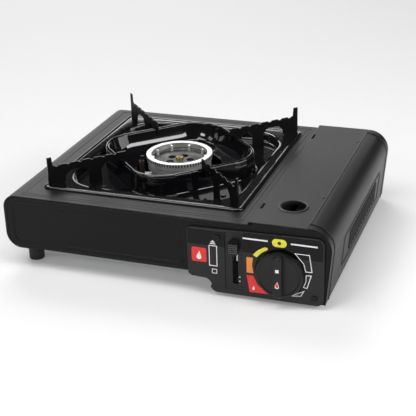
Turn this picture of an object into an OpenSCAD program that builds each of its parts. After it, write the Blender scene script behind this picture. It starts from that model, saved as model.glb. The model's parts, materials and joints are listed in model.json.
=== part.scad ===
// Portable gas cartridge stove: a sheet case with a lift-off drip pan and four
// pot supports, an open burner, a hinged cartridge lid, a control knob and a
// cartridge lever. Origin: centre of the whole outline, on the table. +Z is up,
// the controls face -Y.

/* [Case] */
// Overall width of the stove
case_w = 340; // [300:1:410]
// Depth of the case from front plate to rear plate
case_d = 271; // [262:1:330]
// Height of the deck above the table
deck_z = 79; // [76:0.5:96]
// Height of the case's left underside above the table
under_z = 21.4; // [12:0.2:30]
// Height of the bay floor's underside above the table
bay_z = 4.6; // [3:0.2:9]
// Thickness of the case sheet
sheet_t = 0.8; // [0.6:0.1:1.2]
// Radius of the case's long top edge
edge_r = 14; // [6:1:22]
// Radius of the case's long bottom edge
base_edge_r = 16; // [6:1:22]
// Radius of the lid's long outer edge
lid_edge_r = 22; // [10:1:30]
// How far the right-hand wall leans in at its foot
side_lean = 5; // [0:0.5:8]
// How far the lid stands above the deck
lid_step = 3; // [2.8:0.1:5]
// Width of the cartridge bay
bay_w = 85; // [82:1:110]
// Depth of the end plates' rims beside the lid
rim_d = 8.7; // [5:0.1:14]
// Depth of the panel pressed into the front plate
emboss = 1.2; // [0.4:0.1:3]

/* [Drip pan] */
// Width of the drip pan
pan_w = 211; // [190:1:230]
// Depth of the drip pan
pan_d = 223; // [200:1:236]
// Thickness of the enamelled pan sheet
pan_t = 1.2; // [0.8:0.1:1.6]
// Gap from the drip pan to the bay partition
pan_gap = 10; // [6:1:20]
// Width of the pan's flat border
pan_border = 12; // [9:1:16]
// Depth of the pan's moat below the deck
moat_depth = 8; // [5:0.5:12]
// Corner radius of the moat
moat_r = 40; // [20:1:60]
// Height of the burner collar above the deck
collar_h = 13.4; // [8:0.2:18]
// Reach of the collar's corners from the burner
collar_reach = 81; // [70:1:86]
// Corner radius of the collar
collar_r = 36; // [15:1:45]
// Radius of the pan's burner hole
pan_hole_r = 46; // [44:1:50]

/* [Pot supports] */
// Height of the corner posts above the deck
post_h = 32; // [28:0.5:40]
// Thickness of the pot support sheet
support_t = 1.5; // [1:0.1:2.5]
// Width of a corner post
post_w = 5; // [3:0.5:8]
// Drop from the post top to the serrated edge
post_drop = 9.5; // [5:0.5:12]

/* [Burner] */
// Radius of the burner head
burner_r = 35.5; // [32:0.5:38]
// Height of the burner head's top above the deck
burner_h = 8; // [5:0.5:12]
// Width of the burner head's flat ring
burner_ring_w = 5.5; // [4:0.5:8]
// Number of gas slots round the burner head
port_count = 36; // [24:2:60]
// Outer radius of the mixing tube
mix_r = 9; // [7:0.5:11]
// Height of the mixing tube's axis
mix_z = 50; // [46:0.5:54]

/* [Cartridge] */
// Radius of the cartridge
cart_r = 34; // [32:0.5:35]
// Length of the cartridge
cart_len = 185; // [170:1:195]
// Distance from the stove's right side to the cartridge's axis
cart_inset = 48.5; // [46:0.5:52]
// Height of the cartridge's axis above the table
cart_z = 41; // [40:0.5:46]
// Travel of the cartridge into its socket
cart_travel = 8; // [5:0.5:10]
// Radius of the socket's bore
socket_r = 21.2; // [18:0.1:24]
// Depth of the socket's bore
socket_d = 6; // [4:0.5:8]

/* [Controls] */
// Radius of the control knob
knob_r = 23; // [18:0.5:26]
// Height of the knob's axis
knob_z = 33.5; // [30:0.5:38]
// How far the knob stands out from the front plate
knob_out = 14; // [11:0.5:20]
// Thickness of the control panel
panel_t = 2.5; // [2:0.1:4]
// Radius of the valve spindle
spindle_r = 4; // [3:0.1:5]
// Distance from the lever to the bay partition
lever_gap = 8.3; // [7.5:0.1:10]
// Height of the lever's stem at rest
lever_z = 50; // [46:0.5:52]
// Travel of the lever
lever_travel = 30; // [24:0.5:31]
// Width of the lever slot
slot_w = 5.4; // [5:0.1:7]

/* [Hidden] */
$fn = 48;

// Running clearance of a turning shaft, and of a sliding or swinging sheet
run_gap = 0.06;
slide_gap = 0.4;

// Planes of the case
left_x = -case_w / 2;
right_x = case_w / 2;
front_y = -(case_d - knob_out) / 2;
back_y = front_y + case_d;
mid_y = (front_y + back_y) / 2;
bay_x = right_x - bay_w;
lid_z = deck_z + lid_step;
floor_z = bay_z + sheet_t;
under_in = under_z + sheet_t;
deck_in = deck_z - sheet_t;
foot_x = right_x - side_lean;
crease_x = right_x - lid_edge_r - 1;
side_z0 = bay_z + 1.4;
side_z1 = lid_z - lid_edge_r;
step_x0 = bay_x - 38;
step_x1 = bay_x - 29;
flange_x = left_x + base_edge_r + 18;

// Lid hinge: a wire in the lid's rolled edge
roll_r = 1.5;
hinge_wire_r = 0.9;
hinge_x = bay_x + 5.9;
hinge_z = lid_z - roll_r;
deck_end = hinge_x - roll_r - 0.9;
knuckle_len = 12;
knuckle_inset = 38;

// Drip pan and burner
pan_cx = bay_x - pan_gap - pan_w / 2;
pan_cy = mid_y + 1.2;
moat_z = deck_z - moat_depth;
moat_w = pan_w - 2 * pan_border;
moat_d = pan_d - 2 * pan_border;
collar_z = deck_z + collar_h;
collar_half = (collar_reach - collar_r) / sqrt(2) + collar_r;
deck_hole_gap = 2;
post_z = deck_z + post_h;
burner_z = deck_z + burner_h;
burner_in_r = burner_r - burner_ring_w;
bowl_r = burner_r - 1.6;
bowl_t = 2;
stem_r = 24;
stem_z0 = mix_z - mix_r - 4;
stem_z1 = mix_z + mix_r + 4;
cap_r = 4;

// Pot support corners, seen from the burner
reach_x = pan_w / 2 - 4;
reach_y = pan_d / 2 - 4;
reach = norm([reach_x, reach_y]);
support_angle = atan2(reach_y, reach_x);
edge_z = post_z - post_drop;
teeth = 6;

// Gas path
jet_x = bay_x - 9;
reg_y0 = front_y + 12;
reg_y1 = front_y + 52;
jet_y = reg_y1 - 8;
jet_s = norm([jet_x - pan_cx, jet_y - pan_cy]);
jet_angle = atan2(jet_y - pan_cy, jet_x - pan_cx);
mix_s0 = stem_r - 1;
mix_s1 = jet_s - 19;
tube_r = 3;
reg_w = 42;
reg_z0 = bay_z + 13.4;
reg_z1 = reg_z0 + 44;
knob_x = right_x - cart_inset;
socket_y = reg_y1 + 4 + socket_d;
seal_r = 9;
seal_t = 2;
nozzle_r = 3;
bracket_t = 1.2;

// Lever, cam and pusher
lever_x = bay_x - lever_gap;
stem_h = 8;
stem_w = 4;
cam_t = 1.5;
cam_pin_r = 2;
cam_pin_z = lever_z - 9;
cam_y0 = front_y + 5;
cam_y1 = front_y + 32;
pin_y = front_y + 24;
rod_x = bay_x - 4.5;
rod_w = 2;
rod_h = 8;
push_y = socket_y - 2 + cart_len + cart_travel;
push_t = 2;
handle_z = lever_z + 6;

// Control panel
panel_x0 = bay_x - 56.5;
panel_x1 = right_x - 6.5;
panel_z0 = bay_z - 0.6;
panel_top = deck_z - 8.5;
panel_rise = 3;
panel_y = front_y - panel_t;
recess_x0 = lever_x - 9.8;
recess_x1 = lever_x + 8.1;
groove_w = 1.6;

// Electrode and lead
electrode_a = 200;
electrode_s = burner_r + 5.5;
electrode_x = pan_cx + electrode_s * cos(electrode_a);
electrode_y = pan_cy + electrode_s * sin(electrode_a);
insulator_r = 3;
insulator_z0 = moat_z - 17;
wire_r = 1.2;
piezo_x = bay_x + 7.8;
piezo_z = bay_z + 14;
piezo_r = 5;
piezo_y1 = front_y + 44;
lead = [
  [electrode_x, electrode_y, insulator_z0 - 2],
  [electrode_x, electrode_y, under_z + 14],
  [electrode_x + 6, electrode_y - 8, under_z + 7],
  [pan_cx + 20, front_y + 62, under_z + 5],
  [bay_x - 16, front_y + 62, under_z + 5],
  [bay_x + 4, front_y + 62, piezo_z + 4],
  [piezo_x, front_y + 58, piezo_z],
  [piezo_x, piezo_y1, piezo_z]
];

foot_r = 8;
foot_in = 19.5;
low_foot_in = 16;
foot_y = [front_y + 23, back_y - 23];
screw_r = 1.5;

// ---- shared shapes ----

// Points of an arc in steps that suit bent sheet
function arc(c, r, a0, a1, n = 8) =
  [for (i = [0:n]) c + r * [cos(a0 + (a1 - a0) * i / n), sin(a0 + (a1 - a0) * i / n)]];
function unit(v) = v / norm(v);
function left_of(v) = [-v[1], v[0]];
// Point i of a bent line, moved t to the left of its path with mitred corners
function moved(p, i, t) =
  let(n = len(p))
  let(b = left_of(unit(i == n - 1 ? p[i] - p[i - 1] : p[i + 1] - p[i])))
  let(a = i == 0 ? b : left_of(unit(p[i] - p[i - 1])))
  p[i] + t * (a + b) / (1 + a * b);
function moved_all(p, t) = [for (i = [0:len(p) - 1]) moved(p, i, t)];
function reversed(p) = [for (i = [len(p) - 1:-1:0]) p[i]];
// Closed outline of a sheet whose outer face follows the points
function bent(p, t) = concat(p, reversed(moved_all(p, t)));

module along_y(y0, y1) {
  translate([0, y1, 0]) rotate([90, 0, 0]) linear_extrude(y1 - y0) children();
}

module along_x(x0, x1) {
  translate([x0, 0, 0]) rotate([90, 0, 90]) linear_extrude(x1 - x0) children();
}

module rod_y(x, z, r, y0, y1) {
  translate([x, y1, z]) rotate([90, 0, 0]) cylinder(r = r, h = y1 - y0);
}

module rod_x(y, z, r, x0, x1) {
  translate([x0, y, z]) rotate([0, 90, 0]) cylinder(r = r, h = x1 - x0);
}

module round_rect(w, d, r) {
  square([w - 2 * r, d], center = true);
  square([w, d - 2 * r], center = true);
  for (sx = [-1, 1], sy = [-1, 1])
    translate([sx * (w / 2 - r), sy * (d / 2 - r)]) circle(r = r);
}

module round_slab(w, d, r, z0, z1) {
  translate([0, 0, z0]) linear_extrude(z1 - z0) round_rect(w, d, r);
}

// Straight rod between two points
module rod_between(a, b, r) {
  v = b - a;
  flat = norm([v[0], v[1]]);
  translate(a) rotate([0, atan2(flat, v[2]), atan2(v[1], v[0])]) cylinder(r = r, h = norm(v));
}

// Smooth route through a list of points, n steps between each pair
function route(p, n) = concat(
  [for (i = [0:len(p) - 2], k = [0:n - 1]) between(p, i, k / n)], [p[len(p) - 1]]);
function between(p, i, u) =
  let(a = p[max(i - 1, 0)], b = p[i], c = p[i + 1], d = p[min(i + 2, len(p) - 1)])
  0.5 * (2 * b + (c - a) * u + (2 * a - 5 * b + 4 * c - d) * u * u
    + (3 * b - a - 3 * c + d) * u * u * u);

// Round tube swept along a route
module swept(p, r, sides = 8) {
  n = len(p);
  rings = [for (i = [0:n - 1])
    let(t = unit(p[min(i + 1, n - 1)] - p[max(i - 1, 0)]))
    let(u = unit(cross(t, [0.3, 0.45, 0.84])), v = cross(t, u))
    for (k = [0:sides - 1]) p[i] + r * (cos(k * 360 / sides) * u + sin(k * 360 / sides) * v)];
  walls = [for (i = [0:n - 2], k = [0:sides - 1])
    let(a = i * sides + k, b = i * sides + (k + 1) % sides)
    [a, a + sides, b + sides, b]];
  ends = [[for (k = [0:sides - 1]) k], [for (k = [sides - 1:-1:0]) (n - 1) * sides + k]];
  polyhedron(points = rings, faces = concat(walls, ends), convexity = 6);
}

// Screw that points down from its head's seat, or up when flipped
module screw(pos, len, up = false) {
  translate(pos) mirror([0, 0, up ? 1 : 0]) {
    translate([0, 0, -len]) cylinder(r = screw_r, h = len);
    difference() {
      cylinder(r = 3, h = 1.6);
      translate([-3.5, -0.4, 0.9]) cube([7, 0.8, 1]);
      translate([-0.4, -3.5, 0.9]) cube([0.8, 7, 1]);
    }
  }
}

module hole(pos, r, depth) {
  translate(pos - [0, 0, depth]) cylinder(r = r, h = 2 * depth);
}

// ---- outlines in the x-z plane ----

shell_points = concat(
  [[deck_end, deck_z]],
  arc([left_x + edge_r, deck_z - edge_r], edge_r, 90, 180),
  arc([left_x + base_edge_r, under_z + base_edge_r], base_edge_r, 180, 270),
  [[flange_x, under_z]]
);

lid_points = concat(
  [[foot_x, side_z0]],
  arc([right_x - lid_edge_r, lid_z - lid_edge_r], lid_edge_r, 0, 90),
  [[hinge_x, lid_z]]
);

rim_points = concat(
  [[foot_x, side_z0]],
  arc([right_x - lid_edge_r, lid_z - lid_edge_r], lid_edge_r, 0, 90),
  [[crease_x, lid_z]]
);

end_outline = concat(
  moved_all(shell_points, sheet_t),
  [[step_x0, under_in], [step_x1, bay_z], [foot_x, bay_z]],
  rim_points,
  [
    [crease_x, lid_z - sheet_t - slide_gap],
    [hinge_x + roll_r + 1, lid_z - sheet_t - slide_gap],
    [hinge_x + roll_r + 1, deck_in]
  ]
);

base_points = [
  [left_x + base_edge_r, under_in],
  [step_x0, under_in],
  [step_x1, bay_z],
  [foot_x - sheet_t - 0.7, bay_z],
  [foot_x - sheet_t - 0.4, bay_z + 13]
];

// ---- case ----

module body_shell() {
  color("#1b1b1c") difference() {
    along_y(front_y, back_y) polygon(bent(shell_points, sheet_t));
    translate([pan_cx, pan_cy, 0])
      round_slab(moat_w + 2 * deck_hole_gap, moat_d + 2 * deck_hole_gap,
        moat_r + deck_hole_gap, deck_z - 5, deck_z + 5);
    for (y = foot_y) hole([left_x + foot_in, y, under_z], screw_r, 3);
    for (x = case_screw_x, y = case_screw_y) hole([x, y, under_z], screw_r, 3);
  }
}

// Screws that join the shell's lower flange to the base plate
case_screw_x = [flange_x - 5];
case_screw_y = [front_y + 60, mid_y, back_y - 60];

module case_screws() {
  color("silver") for (x = case_screw_x, y = case_screw_y)
    screw([x, y, under_z], 2 * sheet_t + 2, up = true);
}

module base_plate() {
  color("#262627") difference() {
    along_y(front_y + sheet_t, back_y - sheet_t) polygon(bent(base_points, sheet_t));
    for (y = foot_y) {
      hole([left_x + foot_in, y, under_in], screw_r, 3);
      hole([foot_x - low_foot_in, y, bay_z], screw_r, 3);
    }
    for (x = case_screw_x, y = case_screw_y) hole([x, y, under_in], screw_r, 3);
    for (s = [-1, 1]) hole(burner_screw_at(s), screw_r, 3);
    for (i = [-5:5]) translate([pan_cx + 10 * i - 2, pan_cy + 60, under_in - 1])
      cube([4, 34, 4]);
  }
}

module end_plate() {
  polygon(end_outline);
}

module front_plate() {
  panel_w = bay_x - 59.5 - (left_x + 9);
  panel_h = deck_z - 7 - (under_z + 7);
  pcx = left_x + 9 + panel_w / 2;
  pcz = under_z + 7 + panel_h / 2;
  color("#1b1b1c") difference() {
    union() {
      along_y(front_y, front_y + sheet_t) end_plate();
      along_y(front_y, front_y + rim_d) polygon(bent(rim_points, sheet_t));
      along_y(front_y, front_y + emboss + sheet_t)
        translate([pcx, pcz]) round_rect(panel_w + 2 * sheet_t, panel_h + 2 * sheet_t, 9);
    }
    along_y(front_y - 1, front_y + emboss)
      translate([pcx, pcz]) round_rect(panel_w, panel_h, 8);
    rod_y(knob_x, knob_z, spindle_r + 1, front_y - 1, front_y + 2);
    translate([lever_x - slot_w / 2, front_y - 1, lever_slot_z0])
      cube([slot_w, 4, lever_slot_z1 - lever_slot_z0]);
    for (p = panel_screw_at) rod_y(p[0], p[1], screw_r, front_y - 1, front_y + 2);
  }
}

module rear_plate() {
  color("#1b1b1c") difference() {
    union() {
      along_y(back_y - sheet_t, back_y) end_plate();
      along_y(back_y - rim_d, back_y) polygon(bent(rim_points, sheet_t));
    }
    for (i = [-6:6]) translate([pan_cx + 12 * i - 2, back_y - 3, under_z + 18])
      cube([4, 5, 22]);
  }
}

module bay_partition() {
  color("silver") difference() {
    union() {
      translate([bay_x, front_y + sheet_t, floor_z])
        cube([sheet_t, case_d - 2 * sheet_t, deck_in - floor_z]);
      translate([bay_x, front_y + 60, floor_z])
        cube([8, case_d - 80, sheet_t]);
    }
    rod_x(jet_y, mix_z, tube_r + 0.6, bay_x - 1, bay_x + 3);
    rod_x(front_y + 62, piezo_z + 4, 5, bay_x - 1, bay_x + 3);
    translate([bay_x - 1, push_y - cart_travel - 2, cam_pin_z - 6])
      cube([3, cart_travel + push_t + 4, 12]);
    for (y = rivet_y) translate([bay_x + 5, y, floor_z - 1]) cylinder(r = screw_r, h = 3);
  }
}

rivet_y = [front_y + 80, mid_y + 30, back_y - 30];

module partition_rivets() {
  color("silver") for (y = rivet_y)
    translate([bay_x + 5, y, floor_z]) {
      cylinder(r = screw_r, h = sheet_t);
      translate([0, 0, sheet_t]) cylinder(r = 2.6, h = 0.9);
    }
}

// ---- control panel ----

lever_slot_z1 = lever_z + stem_h / 2 + 1;
lever_slot_z0 = lever_z - lever_travel - stem_h / 2 - 1;
panel_screw_at = [[bay_x - 25.5, deck_z - 16.5], [panel_x1 - 9, bay_z + 7]];
slope = panel_rise / (panel_x1 - panel_x0);

panel_outline = concat(
  arc([panel_x0 + 4, panel_top - 4], 4, 170, 92, 3),
  reversed(arc([panel_x1 - 7.5, panel_top + panel_rise - 7.5], 7.5, 0, 90, 6)),
  reversed(arc([panel_x1 - 7.5, panel_z0 + 7.5], 7.5, -90, 0, 6)),
  arc([step_x1 + 3, panel_z0 + 8], 8, 270, 200, 5),
  arc([step_x0 - 2, panel_z0 + 6], 8, 15, 90, 5),
  [[panel_x0 + 4, panel_z0 + 14.5], [panel_x0 + 0.5, panel_z0 + 17]]
);

module control_panel() {
  color("#202124") difference() {
    along_y(panel_y, front_y) polygon(panel_outline);
    // Recess for the lever
    translate([recess_x0, panel_y - 1, bay_z + 3.5])
      cube([recess_x1 - recess_x0, 2.4, deck_z - 9 - bay_z - 3.5]);
    // Slot for the lever
    translate([lever_x - slot_w / 2, panel_y - 1, lever_slot_z0])
      cube([slot_w, panel_t + 2, lever_slot_z1 - lever_slot_z0]);
    // Groove round the knob
    difference() {
      rod_y(knob_x, knob_z, knob_r + groove_w, panel_y - 1, panel_y + 1.2);
      rod_y(knob_x, knob_z, knob_r - 0.5, panel_y - 2, panel_y + 2);
    }
    rod_y(knob_x, knob_z, spindle_r + run_gap, panel_y - 1, front_y + 1);
    for (p = panel_screw_at) rod_y(p[0], p[1], screw_r, panel_y - 1, front_y + 1);
  }
}

module panel_screws() {
  color("silver") for (p = panel_screw_at)
    translate([p[0], panel_y, p[1]]) rotate([90, 0, 0]) screw([0, 0, 0], panel_t + sheet_t + 2);
}

// ---- feet ----

module tall_foot(y) {
  color("#141414") translate([left_x + foot_in, y, 0]) difference() {
    union() {
      cylinder(r = foot_r - 1, h = 1);
      translate([0, 0, 1]) cylinder(r = foot_r, h = under_z - 1);
    }
    translate([0, 0, -1]) cylinder(r = 3.2, h = under_z - 3);
    cylinder(r = screw_r, h = under_z + 1);
  }
}

module low_foot(y) {
  color("#141414") translate([foot_x - low_foot_in, y, 0]) difference() {
    cylinder(r = foot_r, h = bay_z);
    translate([0, 0, -1]) cylinder(r = 3.2, h = bay_z - 1);
    cylinder(r = screw_r, h = bay_z + 1);
  }
}

module foot_front_left() tall_foot(foot_y[0]);
module foot_rear_left() tall_foot(foot_y[1]);
module foot_front_right() low_foot(foot_y[0]);
module foot_rear_right() low_foot(foot_y[1]);

module foot_screws() {
  color("silver") for (y = foot_y) {
    screw([left_x + foot_in, y, under_z - 4], 4 + 2 * sheet_t + 1.5, up = true);
    screw([foot_x - low_foot_in, y, bay_z - 2], 2 + sheet_t + 1.2, up = true);
  }
}

// ---- cartridge bay ----

module cartridge_cradle() {
  reach_45 = cart_r / sqrt(2);
  y0 = socket_y + 22;
  y1 = push_y - cart_travel - 14;
  color("silver") {
    for (s = [0, 1])
      translate([knob_x, 0, 0]) mirror([s, 0, 0]) along_y(y0, y1) polygon(bent([
        [-reach_45 - 6, cart_z - reach_45 + 6],
        [-reach_45 + 6, cart_z - reach_45 - 6],
        [-reach_45 + 6, floor_z],
        [-reach_45 - 3, floor_z]
      ], -sheet_t));
    for (y = [y0, y1 - 12])
      translate([knob_x - reach_45, y, floor_z]) cube([2 * reach_45, 12, sheet_t]);
  }
}

// ---- regulator ----

module regulator_body() {
  color("lightgray") difference() {
    union() {
      translate([knob_x - reg_w / 2, reg_y0, reg_z0]) cube([reg_w, reg_y1 - reg_y0, reg_z1 - reg_z0]);
      rod_y(knob_x, knob_z, 9, front_y + sheet_t, reg_y0 + 1);
      rod_x(jet_y, mix_z, 6, knob_x - reg_w / 2 - 4, knob_x);
      // Valve nozzle that enters the cartridge
      rod_y(knob_x, cart_z, nozzle_r, reg_y1 - 1, socket_y - socket_d - 0.5);
    }
    rod_y(knob_x, knob_z, spindle_r + run_gap, front_y - 1, reg_y0 + 20);
    rod_y(knob_x, cart_z, 1, reg_y1 - 8, reg_y1 + 8);
    rod_x(jet_y, mix_z, tube_r, knob_x - reg_w / 2 - 6, knob_x - reg_w / 2 + 4);
    for (p = reg_screw_at) hole([p[0], p[1], reg_z0], screw_r, 6);
    for (p = cap_screw_at) hole([p[0], p[1], reg_z1], screw_r, 5);
  }
}

reg_screw_at = [[knob_x - 10, reg_y0 + 8], [knob_x + 10, reg_y1 - 8]];
reg_cy = (reg_y0 + reg_y1) / 2;
cap_screw_at = [for (a = [30, 150, 270]) [knob_x + 14 * cos(a), reg_cy + 14 * sin(a)]];

module regulator_cap() {
  color("silver") difference() {
    union() {
      translate([knob_x, reg_cy, reg_z1]) cylinder(r = 18, h = 3);
      translate([knob_x, reg_cy, reg_z1 + 3]) cylinder(r = 9, h = 4);
    }
    for (p = cap_screw_at) hole([p[0], p[1], reg_z1], screw_r, 5);
    translate([knob_x, reg_cy, reg_z1 + 5]) cylinder(r = 3, h = 4);
  }
}

module regulator_cap_screws() {
  color("silver") for (p = cap_screw_at) screw([p[0], p[1], reg_z1 + 3], 7);
}

module regulator_bracket() {
  x0 = knob_x - 17;
  x1 = knob_x + 17;
  color("silver") difference() {
    along_y(reg_y0 + 2, reg_y1 - 2) polygon(bent([
      [x0 - 7, floor_z + bracket_t], [x0, floor_z + bracket_t], [x0, reg_z0],
      [x1, reg_z0], [x1, floor_z + bracket_t], [x1 + 7, floor_z + bracket_t]
    ], -bracket_t));
    for (p = reg_screw_at) hole([p[0], p[1], reg_z0], screw_r, 5);
  }
}

module regulator_screws() {
  color("silver") for (p = reg_screw_at)
    screw([p[0], p[1], reg_z0 - bracket_t], 6, up = true);
}

module cartridge_socket() {
  color("silver") difference() {
    union() {
      rod_y(knob_x, cart_z, socket_r + 3, reg_y1, socket_y);
      translate([knob_x - 4, reg_y1, cart_z + socket_r]) cube([8, socket_y - reg_y1 + 4, 4]);
    }
    rod_y(knob_x, cart_z, socket_r, socket_y - socket_d, socket_y + 6);
    rod_y(knob_x, cart_z, seal_r, socket_y - socket_d - seal_t, socket_y);
    rod_y(knob_x, cart_z, 6, reg_y1 - 1, socket_y);
  }
}

module socket_seal() {
  color("#303030") difference() {
    rod_y(knob_x, cart_z, seal_r, socket_y - socket_d - seal_t, socket_y - socket_d);
    rod_y(knob_x, cart_z, nozzle_r + run_gap, reg_y1, socket_y);
  }
}

// ---- gas path ----

// Point at a distance from the burner along the mixing tube
function on_mix(s) = [pan_cx + s * cos(jet_angle), pan_cy + s * sin(jet_angle), mix_z];

module gas_tube() {
  color("#b08d57") {
    rod_x(jet_y, mix_z, tube_r, jet_x + tube_r + 0.2, knob_x - reg_w / 2 + 4);
    rod_between(on_mix(jet_s - 8), on_mix(jet_s - tube_r - 0.2), tube_r);
    // Elbow block
    translate([jet_x, jet_y, mix_z - tube_r - 1.2]) cylinder(r = tube_r + 2, h = 2 * tube_r + 2.4);
  }
}

module jet_nozzle() {
  color("#b08d57") difference() {
    union() {
      rod_between(on_mix(jet_s - 17), on_mix(jet_s - 8), 3.6);
      rod_between(on_mix(jet_s - 20), on_mix(jet_s - 17), 2);
    }
    rod_between(on_mix(jet_s - 21), on_mix(jet_s - 7), 0.6);
  }
}

module jet_bracket() {
  color("silver") difference() {
    translate([on_mix(jet_s - 13)[0], on_mix(jet_s - 13)[1], 0]) rotate([0, 0, jet_angle]) union() {
      translate([-0.6, -8, under_in + sheet_t]) cube([1.2, 16, mix_z + 8 - under_in - sheet_t]);
      translate([-10, -8, under_in + sheet_t]) cube([10, 16, 1.2]);
    }
    rod_between(on_mix(jet_s - 18), on_mix(jet_s - 7), 3.6);
  }
}

module mixing_tube() {
  color("silver") difference() {
    union() {
      rod_between(on_mix(mix_s0), on_mix(mix_s1), mix_r);
      rod_between(on_mix(mix_s1 - 3), on_mix(mix_s1), mix_r + 2);
    }
    rod_between(on_mix(mix_s0 - 1), on_mix(mix_s1 + 1), mix_r - 1);
    // Air windows beside the jet
    for (a = [0:90:270])
      translate(on_mix(mix_s1 - 14)) rotate([0, 0, jet_angle]) rotate([a + 45, 0, 0])
        translate([-5, -2.5, mix_r - 3]) cube([8, 5, 6]);
  }
}

// ---- burner ----

module burner_base() {
  color("lightgray") difference() {
    union() {
      translate([pan_cx, pan_cy, 0]) rotate_extrude() polygon([
        [0, stem_z0], [stem_r - 3, stem_z0], [stem_r, stem_z0 + 3], [stem_r, stem_z1],
        [bowl_r, stem_z1 + 9], [bowl_r, burner_z - 3.5], [bowl_r - bowl_t, burner_z - 3.5],
        [bowl_r - bowl_t, stem_z1 + 10], [stem_r - bowl_t, stem_z1 + 1],
        [stem_r - bowl_t, stem_z0 + bowl_t], [4.5, stem_z0 + bowl_t],
        [4.5, burner_z - 9.5], [0, burner_z - 9.5]
      ]);
      rod_between(on_mix(stem_r - 1), on_mix(stem_r + 12), mix_r + 1.7);
    }
    rod_between(on_mix(stem_r - 5), on_mix(stem_r + 13), mix_r);
    translate([pan_cx, pan_cy, burner_z - 24]) cylinder(r = 2, h = 20);
    for (s = [-1, 1]) hole(base_screw_at(s), screw_r, 5);
  }
}

function base_screw_at(s) = [pan_cx, pan_cy + s * 13, stem_z0];
function burner_screw_at(s) = [pan_cx, pan_cy + s * 30, under_in];

module burner_head() {
  color("gainsboro") translate([pan_cx, pan_cy, 0]) difference() {
    rotate_extrude() polygon([
      [2, burner_z - 9.5], [burner_in_r - 1, burner_z - 9.5], [burner_in_r + 1.4, burner_z - 7],
      [burner_in_r + 1.4, burner_z - 3.5], [bowl_r + 0.3, burner_z - 3.5],
      [bowl_r + 0.3, burner_z - 8], [burner_r, burner_z - 8], [burner_r, burner_z],
      [burner_in_r, burner_z], [burner_in_r, burner_z - 6], [burner_in_r - 2, burner_z - 8],
      [2, burner_z - 8]
    ]);
    for (i = [0:port_count - 1]) rotate([0, 0, i * 360 / port_count])
      translate([bowl_r - 0.5, -0.8, burner_z - 9]) cube([3, 1.6, 5.6]);
  }
}

module burner_cap_screw() {
  color("#b5893c") translate([pan_cx, pan_cy, 0]) {
    difference() {
      translate([0, 0, burner_z - 8]) cylinder(r = cap_r, h = 3);
      translate([-0.5, -cap_r - 1, burner_z - 6]) cube([1, 2 * cap_r + 2, 2]);
    }
    translate([0, 0, burner_z - 22]) cylinder(r = 2, h = 14);
  }
}

module burner_bracket() {
  z0 = under_in + sheet_t + bracket_t;
  color("silver") difference() {
    along_x(pan_cx - 14, pan_cx + 14) polygon(bent([
      [pan_cy - 36, z0], [pan_cy - 22, z0], [pan_cy - 19, stem_z0],
      [pan_cy + 19, stem_z0], [pan_cy + 22, z0], [pan_cy + 36, z0]
    ], -bracket_t));
    for (s = [-1, 1]) {
      hole(base_screw_at(s), screw_r, 4);
      hole(burner_screw_at(s), screw_r, 4);
    }
  }
}

module burner_screws() {
  color("silver") for (s = [-1, 1]) {
    screw(base_screw_at(s) - [0, 0, bracket_t], bracket_t + 4, up = true);
    screw(burner_screw_at(s) + [0, 0, sheet_t + bracket_t], sheet_t + bracket_t);
  }
}

// ---- ignition ----

module electrode() {
  tip = [pan_cx + (burner_r + 2.5) * cos(electrode_a), pan_cy + (burner_r + 2.5) * sin(electrode_a),
    burner_z - 3];
  top = [electrode_x, electrode_y, burner_z - 3];
  color("silver") {
    rod_between([electrode_x, electrode_y, insulator_z0 - 2], top, 1);
    rod_between(top, tip, 0.9);
    translate(top) sphere(r = 1.2);
  }
}

module electrode_insulator() {
  color("white") difference() {
    translate([electrode_x, electrode_y, 0]) {
      translate([0, 0, insulator_z0]) cylinder(r = insulator_r, h = moat_z + 8 - insulator_z0);
      translate([0, 0, insulator_z0 + 6]) cylinder(r = insulator_r + 1, h = 3);
    }
    translate([electrode_x, electrode_y, insulator_z0 - 1]) cylinder(r = 1, h = 60);
  }
}

module electrode_bracket() {
  z = insulator_z0 + 9;
  color("silver") difference() {
    translate([pan_cx, pan_cy, z]) rotate([0, 0, electrode_a]) union() {
      translate([stem_r - 1, -4, 0]) cube([electrode_s - stem_r + 6, 8, 1]);
    }
    translate([pan_cx, pan_cy, z - 1]) cylinder(r = base_r_at(z), h = 3);
    translate([electrode_x, electrode_y, z - 1]) cylinder(r = insulator_r, h = 4);
  }
}

// Outer radius of the burner base at a height, at the top of a thin plate there
function base_r_at(z) =
  z < stem_z1 - 1 ? stem_r : min(bowl_r, stem_r + (z + 1 - stem_z1) * (bowl_r - stem_r) / 9);

module igniter_wire() {
  color("#8a1f16") swept(route(lead, 5), wire_r);
}

module piezo_igniter() {
  color("#26282c") difference() {
    union() {
      rod_y(piezo_x, piezo_z, piezo_r, front_y + 6, piezo_y1 + 4);
      rod_y(piezo_x, piezo_z, 2, front_y + sheet_t, front_y + 6);
    }
    rod_y(piezo_x, piezo_z, wire_r, piezo_y1, piezo_y1 + 6);
  }
}

// ---- lever, cam and pusher ----

module lever_guide() {
  x = lever_x - cam_t / 2 - slide_gap;
  color("silver") difference() {
    translate([x - 2, front_y + sheet_t, floor_z + 1])
      cube([cam_t + 2 * slide_gap + 4, 8, deck_in - floor_z - 2]);
    translate([x, front_y + sheet_t + 1, floor_z])
      cube([cam_t + 2 * slide_gap, 8, deck_in - floor_z]);
    translate([lever_x - slot_w / 2, front_y, lever_slot_z0])
      cube([slot_w, 10, lever_slot_z1 - lever_slot_z0]);
  }
}

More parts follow.
